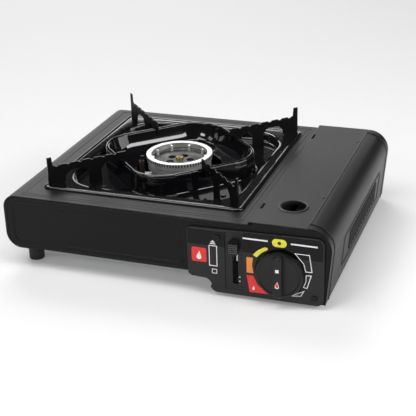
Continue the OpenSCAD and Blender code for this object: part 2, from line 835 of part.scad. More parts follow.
module lever_handle() {
  y0 = panel_y - 8.5;
  color("#303236") {
    difference() {
      along_x(lever_x - 5.2, lever_x + 5.2) polygon([
        [panel_y - slide_gap, handle_z - 7], [y0 + 3, handle_z - 7], [y0, handle_z - 4],
        [y0, handle_z + 3], [y0 + 3, handle_z + 7], [panel_y - slide_gap, handle_z + 7]
      ]);
      for (i = [-1:1]) translate([lever_x - 6, y0 - 0.4, handle_z + 3 * i - 0.5]) cube([12, 0.9, 1]);
    }
    translate([lever_x - stem_w / 2, panel_y - slide_gap - 1, lever_z - stem_h / 2])
      cube([stem_w, cam_y0 - panel_y + slide_gap + 1, stem_h]);
  }
}

module cam_plate() {
  run = [-cart_travel, lever_travel];
  z0 = cam_pin_z - cam_pin_r - 2.2;
  z1 = cam_pin_z + lever_travel + cam_pin_r + 2.2;
  half = cam_pin_r + 0.3;
  color("silver") difference() {
    translate([lever_x - cam_t / 2, cam_y0, z0]) cube([cam_t, cam_y1 - cam_y0, z1 - z0]);
    // Inclined slot that moves the pin towards the front as the plate goes down
    along_x(lever_x - 2, lever_x + 2) {
      translate([pin_y, cam_pin_z]) circle(r = half);
      translate([pin_y, cam_pin_z] + run) circle(r = half);
      translate([pin_y, cam_pin_z]) rotate(atan2(run[1], run[0])) translate([0, -half])
        square([norm(run), 2 * half]);
    }
  }
}

module push_rod() {
  color("silver") difference() {
    translate([rod_x, pin_y - 5, cam_pin_z - rod_h / 2]) cube([rod_w, push_y - pin_y + 5, rod_h]);
    rod_x(pin_y, cam_pin_z, cam_pin_r, rod_x - 1, rod_x + rod_w + 1);
  }
}

module cam_pin() {
  color("silver") rod_x(pin_y, cam_pin_z, cam_pin_r, lever_x - cam_t / 2 - 1.2, rod_x + rod_w);
}

module pusher_plate() {
  color("silver") {
    translate([rod_x, push_y, cam_pin_z - rod_h / 2]) cube([bay_x + 8 - rod_x, push_t, rod_h]);
    along_y(push_y, push_y + push_t) translate([knob_x, cart_z])
      round_rect(2 * cart_r - 8, 46, 8);
  }
}

module rod_guides() {
  color("silver") for (y = [mid_y - 30, push_y - 30]) difference() {
    translate([rod_x - slide_gap - 1, y, cam_pin_z - rod_h / 2 - slide_gap - 1])
      cube([bay_x - rod_x + slide_gap + 1, 8, rod_h + 2 * slide_gap + 2]);
    translate([rod_x - slide_gap, y - 1, cam_pin_z - rod_h / 2 - slide_gap])
      cube([rod_w + 2 * slide_gap, 10, rod_h + 2 * slide_gap]);
  }
}

// ---- lid and hinge ----

module hinge_bracket(y) {
  color("#1b1b1c") difference() {
    along_y(y - knuckle_len / 2, y + knuckle_len / 2) {
      translate([bay_x + sheet_t, deck_z - 14]) square([sheet_t, 14 - sheet_t]);
      translate([bay_x + sheet_t, deck_in - sheet_t])
        square([hinge_x - roll_r - bay_x, sheet_t]);
      translate([hinge_x - roll_r, deck_in - sheet_t]) square([sheet_t, hinge_z - deck_in + sheet_t]);
      translate([hinge_x, hinge_z]) circle(r = roll_r);
    }
    rod_y(hinge_x, hinge_z, hinge_wire_r, y - knuckle_len, y + knuckle_len);
  }
}

hinge_y = [front_y + knuckle_inset, back_y - knuckle_inset];
module hinge_bracket_front() hinge_bracket(hinge_y[0]);
module hinge_bracket_rear() hinge_bracket(hinge_y[1]);

module hinge_pin(y) {
  color("silver") rod_y(hinge_x, hinge_z, hinge_wire_r, y - 18, y + 18);
}

module hinge_pin_front() hinge_pin(hinge_y[0]);
module hinge_pin_rear() hinge_pin(hinge_y[1]);

finger_y = front_y + 44.7;
finger_r = 12;
louvre_count = 13;

module lid() {
  color("#1b1b1c") difference() {
    union() {
      along_y(front_y, back_y) polygon(bent(lid_points, sheet_t));
      rod_y(hinge_x, hinge_z, roll_r, front_y, back_y);
      // Rolled rim of the finger hole
      translate([knob_x, finger_y, lid_z - 3]) cylinder(r = finger_r + 3.4, h = 3.8);
    }
    rod_y(hinge_x, hinge_z, hinge_wire_r + run_gap, front_y - 1, back_y + 1);
    // Space for the brackets' knuckles
    for (y = hinge_y)
      translate([hinge_x - 4, y - knuckle_len / 2 - slide_gap, hinge_z - 4])
        cube([7, knuckle_len + 2 * slide_gap, 8]);
    // Rims of the end plates show beside the lid
    for (y = [front_y - 1, back_y - rim_d - slide_gap])
      translate([crease_x - slide_gap, y, 0]) cube([60, rim_d + slide_gap + 1, lid_z + 5]);
    translate([knob_x, finger_y, lid_z - 5]) cylinder(r = finger_r, h = 10);
    // Louvres in the side
    for (i = [0:louvre_count - 1])
      translate([right_x - 10, mid_y - 52 + 10 * i, bay_z + 19]) cube([20, 3, 22]);
  }
}

// Inner face of the lid's side at a height
function side_in(z) = foot_x + side_lean * (z - side_z0) / (side_z1 - side_z0)
  - sheet_t * norm([side_lean, side_z1 - side_z0]) / (side_z1 - side_z0);

// Spring clip that snaps behind the base plate's lip
module lid_catch() {
  z = bay_z + 20;
  color("silver") along_y(mid_y + 78, mid_y + 92) polygon(bent([
    [side_in(z + 12), z + 12], [side_in(z - 3), z - 3]
  ], -0.6));
}

// ---- knob ----

module knob() {
  hub_y = panel_y - slide_gap;
  disc_y = panel_y - 6;
  color("#26272b") difference() {
    union() {
      rod_y(knob_x, knob_z, knob_r, disc_y, hub_y);
      translate([knob_x - 3.5, front_y - knob_out, knob_z - knob_r + 1.5])
        cube([7, disc_y - front_y + knob_out + 1, 2 * knob_r - 3]);
    }
    rod_y(knob_x, knob_z, spindle_r, hub_y - 5, hub_y + 1);
    // Pointer mark
    translate([knob_x - 0.6, front_y - knob_out - 1, knob_z + knob_r - 12]) cube([1.2, 1.5, 9]);
  }
}

module valve_spindle() {
  color("#b5893c") rod_y(knob_x, knob_z, spindle_r, panel_y - slide_gap - 5, reg_y0 + 18);
}

// ---- drip pan and pot supports ----

module collar(inset, z0, z1) {
  rotate([0, 0, 45])
    round_slab(2 * (collar_half - inset), 2 * (collar_half - inset), collar_r - inset, z0, z1);
}

module drip_pan() {
  pan_z = deck_z + pan_t;
  color("#0d0d0e") translate([pan_cx, pan_cy, 0]) difference() {
    union() {
      difference() {
        union() {
          round_slab(pan_w, pan_d, 5, deck_z, pan_z);
          round_slab(moat_w, moat_d, moat_r, moat_z - pan_t, pan_z);
        }
        round_slab(moat_w - 2 * pan_t, moat_d - 2 * pan_t, moat_r - pan_t, moat_z, pan_z + 1);
      }
      difference() {
        collar(0, moat_z - pan_t, collar_z);
        collar(pan_t, moat_z, collar_z + 1);
      }
    }
    translate([0, 0, moat_z - 5]) cylinder(r = pan_hole_r, h = 10);
    for (a = support_angles) rotate([0, 0, a]) translate([rivet_s, rivet_off, moat_z - 5])
      cylinder(r = screw_r, h = 10);
  }
}

support_angles = [support_angle, 180 - support_angle, 180 + support_angle, 360 - support_angle];
mid_s0 = collar_half + 22;
mid_s1 = mid_s0 + 14;
post_s0 = reach - post_w;
rivet_s = (mid_s0 + mid_s1) / 2;
rivet_off = 7;
// Height of the moat floor and of the border that the supports stand on
moat_top = moat_z;
border_top = deck_z + pan_t;

// Outline of a pot support: distance from the burner, height
module support_outline() {
  hook_s = collar_half;
  rise = edge_z - 8;
  pitch = (post_s0 - 3 - (hook_s - 4)) / teeth;
  difference() {
    polygon([
      [hook_s - pan_t - 5, edge_z], [hook_s - pan_t - 5, collar_z - 5], [hook_s - pan_t - 1, collar_z - 5],
      [hook_s - pan_t - 1, collar_z + 0.3], [hook_s + 0.4, collar_z + 0.3], [hook_s + 0.4, collar_z - 8],
      [hook_s + 4, collar_z - 8], [hook_s + 8, rise - 5], [hook_s + 14, rise], [mid_s0 - 5, rise],
      [mid_s0, rise - 6], [mid_s0, moat_top], [mid_s1, moat_top], [mid_s1, rise - 6],
      [mid_s1 + 4, rise], [post_s0 - 20, rise], [post_s0 - 14, rise - 6], [post_s0 - 14, border_top + 3],
      [post_s0 - 11, border_top], [reach, border_top], [reach, post_z], [post_s0, post_z],
      [post_s0 - 1, edge_z]
    ]);
    for (i = [0:teeth - 1]) translate([hook_s + pitch * (i + 0.5), edge_z + 1.6]) circle(r = 3);
  }
}

module pot_support(a) {
  color("#0d0d0e") translate([pan_cx, pan_cy, 0]) rotate([0, 0, a]) difference() {
    union() {
      translate([0, support_t / 2, 0]) rotate([90, 0, 0]) linear_extrude(support_t) support_outline();
      translate([mid_s0, 0, moat_top]) cube([mid_s1 - mid_s0, rivet_off + 4, support_t]);
    }
    translate([rivet_s, rivet_off, moat_top - 1]) cylinder(r = screw_r, h = 5);
  }
}

module pot_support_rear_right() pot_support(support_angles[0]);
module pot_support_rear_left() pot_support(support_angles[1]);
module pot_support_front_left() pot_support(support_angles[2]);
module pot_support_front_right() pot_support(support_angles[3]);

module support_rivets() {
  color("#0d0d0e") translate([pan_cx, pan_cy, 0]) for (a = support_angles) rotate([0, 0, a])
    translate([rivet_s, rivet_off, 0]) {
      translate([0, 0, moat_top + support_t]) cylinder(r = 2.8, h = 1.2);
      translate([0, 0, moat_z - pan_t - 1]) cylinder(r = screw_r, h = pan_t + support_t + 1);
      translate([0, 0, moat_z - pan_t - 1]) cylinder(r = 2.8, h = 1);
    }
}

body_shell();
base_plate();
front_plate();
rear_plate();
bay_partition();
control_panel();
panel_screws();
case_screws();
partition_rivets();
foot_front_left();
foot_rear_left();
foot_front_right();
foot_rear_right();
foot_screws();
cartridge_cradle();
regulator_body();
regulator_cap();
regulator_cap_screws();
regulator_bracket();
regulator_screws();
cartridge_socket();
socket_seal();
gas_tube();
jet_nozzle();
jet_bracket();
mixing_tube();
burner_base();
burner_head();
burner_cap_screw();
burner_bracket();
burner_screws();
electrode();
electrode_insulator();
electrode_bracket();
igniter_wire();
piezo_igniter();
lever_guide();
rod_guides();
hinge_bracket_front();
hinge_bracket_rear();
hinge_pin_front();
hinge_pin_rear();
drip_pan();
pot_support_front_left();
pot_support_front_right();
pot_support_rear_left();
pot_support_rear_right();
support_rivets();
lid();
lid_catch();
knob();
valve_spindle();
lever_handle();
cam_plate();
push_rod();
cam_pin();
pusher_plate();
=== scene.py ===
import json
import math

import bmesh
import bpy
import numpy as np
from mathutils import Matrix, Vector


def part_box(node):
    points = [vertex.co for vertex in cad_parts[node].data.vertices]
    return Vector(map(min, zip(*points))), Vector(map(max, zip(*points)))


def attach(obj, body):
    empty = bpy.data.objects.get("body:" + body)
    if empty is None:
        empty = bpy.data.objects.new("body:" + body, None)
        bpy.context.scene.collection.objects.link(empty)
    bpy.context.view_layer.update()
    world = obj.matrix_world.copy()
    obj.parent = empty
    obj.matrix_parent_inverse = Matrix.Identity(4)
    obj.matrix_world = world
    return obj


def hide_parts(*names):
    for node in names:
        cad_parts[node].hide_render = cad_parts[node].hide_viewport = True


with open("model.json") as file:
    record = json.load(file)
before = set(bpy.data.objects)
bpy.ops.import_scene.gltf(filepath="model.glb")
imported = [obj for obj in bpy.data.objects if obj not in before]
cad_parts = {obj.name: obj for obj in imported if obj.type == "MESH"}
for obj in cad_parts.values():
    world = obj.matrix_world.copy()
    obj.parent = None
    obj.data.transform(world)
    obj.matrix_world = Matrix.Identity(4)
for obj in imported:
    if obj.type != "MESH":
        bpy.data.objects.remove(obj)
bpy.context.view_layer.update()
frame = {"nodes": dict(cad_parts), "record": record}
mm = 0.001  # lengths below are in millimetres, and Builder.make turns them into metres


# Low and high corners of a CAD piece's box.
def corners(node):
    low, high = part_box(node)
    return np.array(low) / mm, np.array(high) / mm


# Paints, metals, plastics and inks all come from one node group, the finish.
def newGroup(name, inputs, outputs):
    group = bpy.data.node_groups.new(name, "ShaderNodeTree")
    for label, kind, value in inputs:
        socket = group.interface.new_socket(label, in_out="INPUT", socket_type=kind)
        if value is not None:
            socket.default_value = value
    for label, kind in outputs:
        group.interface.new_socket(label, in_out="OUTPUT", socket_type=kind)
    return group, group.nodes.new("NodeGroupInput"), group.nodes.new("NodeGroupOutput")


def setInputs(node, values):
    for socket, value in values.items():
        node.inputs[socket].default_value = value


def noiseNode(group, start, scale, detail):
    noise = group.nodes.new("ShaderNodeTexNoise")
    setInputs(noise, {"Detail": detail})
    group.links.new(start.outputs["Vector"], noise.inputs["Vector"])
    group.links.new(start.outputs[scale], noise.inputs["Scale"])
    return noise


def rangeNode(group, source, low, high, fromLow=0.0, fromHigh=1.0):
    node = group.nodes.new("ShaderNodeMapRange")
    setInputs(node, {"From Min": fromLow, "From Max": fromHigh})
    for socket, value in (("To Min", low), ("To Max", high)):
        if isinstance(value, (int, float)):
            node.inputs[socket].default_value = value
        else:
            group.links.new(value, node.inputs[socket])
    group.links.new(source, node.inputs["Value"])
    return node.outputs["Result"]


# Finish: a fine grain for the bump, a slow drift of roughness, and a tint
# between two colours where handling and dust have dulled the surface.
def makeFinishGroup():
    group, start, end = newGroup(
        "surfaceFinish",
        [("Vector", "NodeSocketVector", None),
         ("Grain Scale", "NodeSocketFloat", 900.0),
         ("Cloud Scale", "NodeSocketFloat", 14.0),
         ("Rough Low", "NodeSocketFloat", 0.3),
         ("Rough High", "NodeSocketFloat", 0.4),
         ("Clean Color", "NodeSocketColor", (0.02, 0.02, 0.02, 1)),
         ("Dusty Color", "NodeSocketColor", (0.04, 0.04, 0.04, 1))],
        [("Color", "NodeSocketColor"), ("Roughness", "NodeSocketFloat"),
         ("Height", "NodeSocketFloat")])
    grain = noiseNode(group, start, "Grain Scale", 3.0)
    cloud = noiseNode(group, start, "Cloud Scale", 5.0)
    rough = rangeNode(group, cloud.outputs["Fac"], start.outputs["Rough Low"],
                      start.outputs["Rough High"], 0.35, 0.65)
    dust = rangeNode(group, cloud.outputs["Fac"], 0.0, 1.0, 0.45, 0.75)
    mix = group.nodes.new("ShaderNodeMix")
    mix.data_type = "RGBA"
    group.links.new(dust, mix.inputs["Factor"])
    group.links.new(start.outputs["Clean Color"], mix.inputs[6])
    group.links.new(start.outputs["Dusty Color"], mix.inputs[7])
    group.links.new(mix.outputs[2], end.inputs["Color"])
    group.links.new(rough, end.inputs["Roughness"])
    group.links.new(grain.outputs["Fac"], end.inputs["Height"])
    return group


finishGroup = makeFinishGroup()


# A paint or metal: its clean and dusty colours, its range of roughness, the scales of
# grain and cloud per metre, and the depth of the grain in millimetres.
def makeMaterial(name, clean, dusty, rough, grain=900.0, cloud=14.0, bump=0.02, metallic=0.0,
                 coat=0.0, specular=0.5):
    material = bpy.data.materials.new(name)
    material.use_nodes = True
    nodes, links = material.node_tree.nodes, material.node_tree.links
    shader, place = nodes["Principled BSDF"], nodes.new("ShaderNodeTexCoord")
    finish, relief = nodes.new("ShaderNodeGroup"), nodes.new("ShaderNodeBump")
    finish.node_tree = finishGroup
    setInputs(shader, {"Metallic": metallic, "Coat Weight": coat, "Coat Roughness": 0.03,
                       "Specular IOR Level": specular})
    setInputs(finish, {"Grain Scale": grain, "Cloud Scale": cloud, "Rough Low": rough[0],
                       "Rough High": rough[1], "Clean Color": (*clean, 1),
                       "Dusty Color": (*dusty, 1)})
    setInputs(relief, {"Strength": 1.0, "Distance": bump * mm})
    links.new(place.outputs["Object"], finish.inputs["Vector"])
    links.new(finish.outputs["Color"], shader.inputs["Base Color"])
    links.new(finish.outputs["Roughness"], shader.inputs["Roughness"])
    links.new(finish.outputs["Height"], relief.inputs["Height"])
    links.new(relief.outputs["Normal"], shader.inputs["Normal"])
    return material


finishes = {
    "painted_black": makeMaterial("satinPaint", (0.007, 0.007, 0.0075), (0.010, 0.010, 0.0105),
                                  (0.36, 0.43), 1300, 9, 0.03, specular=0.34),
    "enamel_black": makeMaterial("glossEnamel", (0.004, 0.004, 0.005), (0.006, 0.006, 0.007),
                                 (0.06, 0.12), 160, 8, 0.010, coat=0.45, specular=0.4),
    "zinc_steel": makeMaterial("zincPlate", (0.55, 0.56, 0.57), (0.42, 0.43, 0.44),
                               (0.28, 0.42), 500, 60, 0.01, metallic=1.0),
    "panel_plastic": makeMaterial("fasciaPlastic", (0.016, 0.016, 0.017), (0.022, 0.022, 0.023),
                                  (0.32, 0.38), 2200, 12, 0.02, specular=0.3),
    "knob_plastic": makeMaterial("knobPlastic", (0.007, 0.007, 0.008), (0.010, 0.010, 0.011),
                                 (0.26, 0.34), 1800, 20, 0.02, specular=0.34),
    "rubber_black": makeMaterial("footRubber", (0.018, 0.018, 0.018), (0.035, 0.034, 0.033),
                                 (0.70, 0.82), 1500, 40, 0.05),
    "cast_aluminium": makeMaterial("castAluminium", (0.84, 0.84, 0.83), (0.70, 0.70, 0.69),
                                   (0.34, 0.48), 1600, 45, 0.05, metallic=0.8),
    "brass": makeMaterial("brass", (0.72, 0.50, 0.20), (0.58, 0.39, 0.15),
                          (0.22, 0.34), 900, 60, 0.01, metallic=1.0),
    "ceramic_brown": makeMaterial("glazedCeramic", (0.055, 0.040, 0.032), (0.085, 0.066, 0.054),
                                  (0.15, 0.25), 400, 50, 0.01, coat=0.6),
    "lead_red": makeMaterial("leadSheath", (0.45, 0.02, 0.015), (0.35, 0.02, 0.015),
                             (0.42, 0.52), 900, 50, 0.02),
}
inks = {
    # Painted shade: the satin paint made darker and less glossy for the front plate and its pressings.
    "plateFinish": makeMaterial("platePaint", (0.005, 0.005, 0.0055), (0.007, 0.007, 0.0075),
                                (0.36, 0.43), 1300, 9, 0.03, specular=0.18),
    "bandGloss": makeMaterial("bandGloss", (0.003, 0.003, 0.003), (0.004, 0.004, 0.004), (0.10, 0.16),
                              specular=0.2),
    # Painted shade: the enamel made rough and nearly unreflective for the supports' flat sides.
    "supportSide": makeMaterial("supportSide", (0.004, 0.004, 0.0045), (0.006, 0.006, 0.0065),
                                (0.45, 0.55), 240, 30, 0.02, specular=0.08),
    # Painted shade: cast aluminium darkened for the floor of the burner's bowl.
    "bowlCast": makeMaterial("bowlCast", (0.13, 0.13, 0.13), (0.06, 0.058, 0.055), (0.45, 0.6),
                             1400, 70, 0.06, metallic=1.0),
    # Painted shade, lighter than the floor's: cast aluminium darkened for the wall of the burner's bowl.
    "wallCast": makeMaterial("wallCast", (0.66, 0.66, 0.65), (0.48, 0.48, 0.47), (0.26, 0.38),
                             1400, 70, 0.04, metallic=0.85),
    "sootySteel": makeMaterial("sootySteel", (0.10, 0.095, 0.09), (0.05, 0.047, 0.045), (0.4, 0.55),
                               700, 80, 0.02, metallic=1.0),
    # Soot with painted shade: the gaps between the burner's teeth, darkened where they open to the dark
    # inside.
    "portSoot": makeMaterial("portSoot", (0.03, 0.028, 0.026), (0.06, 0.055, 0.05), (0.6, 0.75)),
    # Painted highlight: near-white, mostly unmetallic aluminium for the burner's top rim.
    "rimMetal": makeMaterial("brightRim", (0.97, 0.97, 0.96), (0.90, 0.90, 0.89), (0.30, 0.40),
                             metallic=0.35),
}
for name, clean, dusty, rough in (
        ("inkWhite", (0.97, 0.97, 0.96), (0.90, 0.90, 0.89), (0.36, 0.42)),
        ("inkYellow", (0.97, 0.90, 0.06), (0.90, 0.82, 0.05), (0.36, 0.42)),
        ("inkOrange", (0.98, 0.34, 0.05), (0.90, 0.29, 0.04), (0.36, 0.42)),
        ("inkRed", (0.92, 0.030, 0.028), (0.82, 0.028, 0.026), (0.36, 0.42)),
        ("inkBlack", (0.012, 0.012, 0.012), (0.018, 0.018, 0.018), (0.3, 0.36))):
    inks[name] = makeMaterial(name, clean, dusty, rough)
print("stage: materials")


meshing = {"weldDistance": 0.01, "bevelAngle": 32, "normalWeight": 80}


# Faces of a grid of rows by columns, closed in either direction if asked.
def gridFaces(rows, cols, wrapRows=False, wrapCols=False):
    r = np.arange(rows if wrapRows else rows - 1)
    c = np.arange(cols if wrapCols else cols - 1)
    rr, cc = (a.ravel() for a in np.meshgrid(r, c, indexing="ij"))
    r1, c1 = (rr + 1) % rows, (cc + 1) % cols
    return np.stack([rr * cols + cc, rr * cols + c1, r1 * cols + c1, r1 * cols + cc], 1)


class Builder:
    def __init__(self):
        self.points, self.faces, self.count = [], [], 0

    # Points, and arrays of faces that number them from the first new one.
    def add(self, points, *faceArrays):
        for faces in faceArrays:
            self.faces += (np.asarray(faces) + self.count).tolist()
        points = np.asarray(points, float).reshape(-1, 3)
        self.points.append(points)
        self.count += len(points)

    # Rings stacked along a path, with its ends closed by flat caps if asked.
    def rings(self, rings, capped=True, wrapRows=False):
        rings = np.asarray(rings, float)
        rows, cols = rings.shape[:2]
        sides = gridFaces(rows, cols, wrapRows, True)
        ends = [np.arange(cols), np.arange((rows - 1) * cols, rows * cols)]
        self.add(rings, sides, *([ends] if capped and not wrapRows else []))

    def make(self, name):
        mesh = bpy.data.meshes.new(name)
        mesh.from_pydata((np.concatenate(self.points) * mm).tolist(), [], self.faces)
        return bpy.data.objects.new(name, mesh)


def cleanMesh(obj, outward=True):
    work = bmesh.new()
    work.from_mesh(obj.data)
    bmesh.ops.remove_doubles(work, verts=work.verts, dist=meshing["weldDistance"] * mm)
    if outward:
        bmesh.ops.recalc_face_normals(work, faces=work.faces)
    work.to_mesh(obj.data)
    work.free()


def applyModifiers(obj):
    graph = bpy.context.evaluated_depsgraph_get()
    mesh = bpy.data.meshes.new_from_object(obj.evaluated_get(graph))
    obj.modifiers.clear()
    obj.data = mesh


def cutOut(obj, cutters):
    for cutter in cutters:
        cleanMesh(cutter)
        bpy.context.collection.objects.link(cutter)
        step = obj.modifiers.new("cut", "BOOLEAN")
        step.operation = "DIFFERENCE"
        step.solver = "EXACT"
        step.object = cutter
        applyModifiers(obj)
        bpy.data.objects.remove(cutter)


# Give a second material to the faces whose centres and normals, in millimetres,
# pass a test.
def paintWhere(obj, material, test):
    count = len(obj.data.polygons)
    centres, normals = np.empty(count * 3), np.empty(count * 3)
    current = np.empty(count, np.int32)
    obj.data.polygons.foreach_get("center", centres)
    obj.data.polygons.foreach_get("normal", normals)
    obj.data.polygons.foreach_get("material_index", current)
    chosen = test(centres.reshape(-1, 3) / mm, normals.reshape(-1, 3))
    current[chosen] = len(obj.data.materials)
    obj.data.materials.append(material)
    obj.data.polygons.foreach_set("material_index", current)
    print("painted", obj.name, material.name, int(chosen.sum()), "of", count)


# One finished piece: thickened, cut, bevelled and smoothed, given its slot's finish unless a material is
# passed, then tied to its body, with the CAD nodes whose place it takes hidden.
def putPiece(builder, name, body, slot, nodes=(), cutters=(), bevel=0.0, thickness=0.0,
             outward=True, material=None, sharp=35, segments=2):
    obj = builder.make(name)
    bpy.context.collection.objects.link(obj)
    cleanMesh(obj, outward)
    if thickness:
        solid = obj.modifiers.new("wall", "SOLIDIFY")
        solid.thickness = thickness * mm
        solid.offset = -1
        solid.use_even_offset = True
        applyModifiers(obj)
    cutOut(obj, cutters)
    if bevel:
        edge = obj.modifiers.new("edge", "BEVEL")
        edge.width = bevel * mm
        edge.segments = segments
        edge.limit_method = "ANGLE"
        edge.angle_limit = math.radians(meshing["bevelAngle"])
        applyModifiers(obj)
    obj.data.materials.clear()
    obj.data.materials.append(material or finishes[slot])
    obj.data.polygons.foreach_set("use_smooth", [True] * len(obj.data.polygons))
    obj.data.set_sharp_from_angle(angle=math.radians(sharp))
    even = obj.modifiers.new("evenNormals", "WEIGHTED_NORMAL")
    even.keep_sharp = True
    even.weight = meshing["normalWeight"]
    applyModifiers(obj)
    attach(obj, body)
    if nodes:
        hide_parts(*nodes)
    return obj


# Outlines in a plane: arrays of points, first coordinate across, second up.
def arcPoints(centre, radius, start, end, steps):
    a = np.radians(np.linspace(start, end, steps))
    return np.stack([centre[0] + radius * np.cos(a), centre[1] + radius * np.sin(a)], 1)


def roundRect(cx, cz, width, height, radius, steps=9):
    hx, hz = width / 2 - radius, height / 2 - radius
    return np.concatenate([arcPoints((cx + sx * hx, cz + sz * hz), radius, a, a + 90, steps)
                           for sx, sz, a in ((1, 1, 0), (-1, 1, 90), (-1, -1, 180), (1, -1, 270))])


# An outline in x and z, stood up at one y.
def atY(outline, y):
    outline = np.asarray(outline, float)
    return np.stack([outline[:, 0], np.full(len(outline), y), outline[:, 1]], 1)


# An outline in x and z carried straight along y.
def alongY(outline, y0, y1, builder=None):
    builder = builder or Builder()
    builder.rings([atY(outline, y0), atY(outline, y1)])
    return builder


def bar(x0, z0, x1, z1):
    return [(x0, z0), (x1, z0), (x1, z1), (x0, z1)]


def boxMesh(low, high, builder=None):
    return alongY(bar(low[0], low[2], high[0], high[2]), low[1], high[1], builder)


# A profile of radius and height turned about an upright or a forward axis.
def turned(profile, centre, axis="z", steps=96, builder=None, capped=True):
    builder = builder or Builder()
    a = np.linspace(0, 2 * np.pi, steps, endpoint=False)
    profile = np.asarray(profile, float)
    r, h = profile[:, :1], np.repeat(profile[:, 1:], steps, 1)
    across, up = r * np.cos(a), r * np.sin(a)
    if axis == "z":
        rings = np.stack([centre[0] + across, centre[1] + up, centre[2] + h], 2)
    else:
        rings = np.stack([centre[0] + across, centre[1] + h, centre[2] + up], 2)
    builder.rings(rings, capped)
    return builder


# Offset of an open line to its left, with even thickness at the bends.
def sheetOutline(line, thickness):
    line = np.asarray(line, float)
    step = np.diff(line, axis=0)
    normal = np.stack([-step[:, 1], step[:, 0]], 1) / np.linalg.norm(step, axis=1)[:, None]
    first = np.concatenate([normal[:1], normal])
    last = np.concatenate([normal, normal[-1:]])
    mean = first + last
    mean /= (mean * first).sum(1)[:, None]
    return np.concatenate([line, (line + mean * thickness)[::-1]])


# Distance from the centre to a rounded rectangle's edge in each direction.
def roundRectReach(angle, halfX, halfY, radius):
    c, s = np.abs(np.cos(angle)) + 1e-12, np.abs(np.sin(angle)) + 1e-12
    kx, ky = halfX - radius, halfY - radius
    dot = c * kx + s * ky
    corner = dot + np.sqrt(np.maximum(dot ** 2 - kx ** 2 - ky ** 2 + radius ** 2, 0))
    onSide, onEnd = halfX / c, halfY / s
    return np.where(onSide * s <= ky, onSide, np.where(onEnd * c <= kx, onEnd, corner))


# A bead: a low half-round ridge pressed along a line, as rings of its section
# square to the line, sunk a little into the sheet.
def bead(builder, points, normals, width, height, closed=False):
    points, normals = np.asarray(points, float), np.asarray(normals, float)
    ahead = np.roll(points, -1, 0) - np.roll(points, 1, 0)
    if not closed:
        ahead[0], ahead[-1] = points[1] - points[0], points[-1] - points[-2]
    side = np.cross(ahead, normals)
    side /= np.linalg.norm(side, axis=1)[:, None]
    sides, sunk = 12, 0.3
    a = np.linspace(0, 2 * np.pi, sides, endpoint=False)
    across, up = np.cos(a) * width / 2, np.maximum(np.sin(a), -sunk) * height
    rings = (points[:, None] + side[:, None] * across[None, :, None]
             + normals[:, None] * up[None, :, None])
    builder.rings(rings, capped=not closed, wrapRows=closed)


# A bead between two points.
def straightBead(builder, start, end, normal, width, height):
    t = np.linspace(0, 1, 8)[:, None]
    points = np.asarray(start, float) * (1 - t) + np.asarray(end, float) * t
    bead(builder, points, np.tile(normal, (len(t), 1)), width, height)


# Case: one sheet for deck, left side and floor, as its section seen from the front.
case = {"sheet": 0.8, "topRadius": 14, "footRadius": 16, "edge": 0.25, "flange": 34,
        "moatMargin": 12, "moatRadius": 40, "holeGap": 2, "holeDeep": 5}
shellLow, shellHigh = corners("body_shell")
panLow, panHigh = corners("drip_pan")
frontY, backY = shellLow[1], shellHigh[1]
midY = (frontY + backY) / 2
deckZ, underZ, leftX = shellHigh[2], shellLow[2], shellLow[0]
panX, panY = (panLow[0] + panHigh[0]) / 2, (panLow[1] + panHigh[1]) / 2
topR, footR = case["topRadius"], case["footRadius"]
moatWidth, moatDepth = (panHigh[i] - panLow[i] - 2 * case["moatMargin"] for i in (0, 1))


def shellLine():
    return np.concatenate([
        [(shellHigh[0], deckZ)],
        arcPoints((leftX + topR, deckZ - topR), topR, 90, 180, 16),
        arcPoints((leftX + footR, underZ + footR), footR, 180, 270, 16),
        [(leftX + case["flange"], underZ)]])


# A slab with rounded corners that opens the deck under the pan.
def deckHole():
    gap, deep = case["holeGap"], case["holeDeep"]
    outline = roundRect(panX, panY, moatWidth + 2 * gap, moatDepth + 2 * gap,
                        case["moatRadius"] + gap, 14)
    builder = Builder()
    builder.rings([np.column_stack([outline, np.full(len(outline), z)])
                   for z in (deckZ - deep, deckZ + deep)])
    return builder.make("deckHole")


putPiece(alongY(sheetOutline(shellLine(), case["sheet"]), frontY, backY), "caseShell", "case",
         "painted_black", ["body_shell"], bevel=case["edge"], cutters=[deckHole()])

# Front and rear plates: a flat sheet inside the shell, a rim beside the lid, and
# at the front a panel pressed inwards, with a raised line round its end and top.
plate = {"sheet": 0.8, "seam": 0.25, "edge": 0.25, "rimDepth": 8.7, "rimEdge": 0.3, "lidRadius": 22,
         "sideLean": 5, "ledge": 1.4, "creaseIn": 1, "step": (38, 29), "underLid": 1.1, "hingeGap": 2.5}
panel = {"left": 9, "right": 59.5, "margin": 7, "radius": 8, "depth": 1.2}
roll = {"inside": 1.5, "below": 2.6, "toHinge": 30, "width": 2.0, "height": 0.7, "sunk": 0.1}
vent = {"count": 13, "pitch": 12, "width": 4, "low": 18, "high": 40}
slot = {"width": 5.4, "travel": 30, "clear": 1, "stem": 8}
pinR = 0.9
plateHigh, bayZ = corners("front_plate")[1], corners("base_plate")[0][2]
rightX, lidZ = plateHigh[0], plateHigh[2]
footX, creaseX = rightX - plate["sideLean"], rightX - plate["lidRadius"] - plate["creaseIn"]
bayX, hingeX = corners("bay_partition")[0][0], corners("hinge_pin_front")[0][0] + pinR
stepX = [bayX - out for out in plate["step"]]

# Places of the controls, since the plate is pierced for them.
knobLow, knobHigh = corners("knob")
knobX, knobZ = (knobLow[0] + knobHigh[0]) / 2, (knobLow[2] + knobHigh[2]) / 2
leverLow, leverHigh = corners("lever_handle")
leverX = (leverLow[0] + leverHigh[0]) / 2
fasLow, fasHigh = corners("control_panel")
faceY = fasLow[1]
spindleLow, spindleHigh = corners("valve_spindle")
spindleR = (spindleHigh[0] - spindleLow[0]) / 2


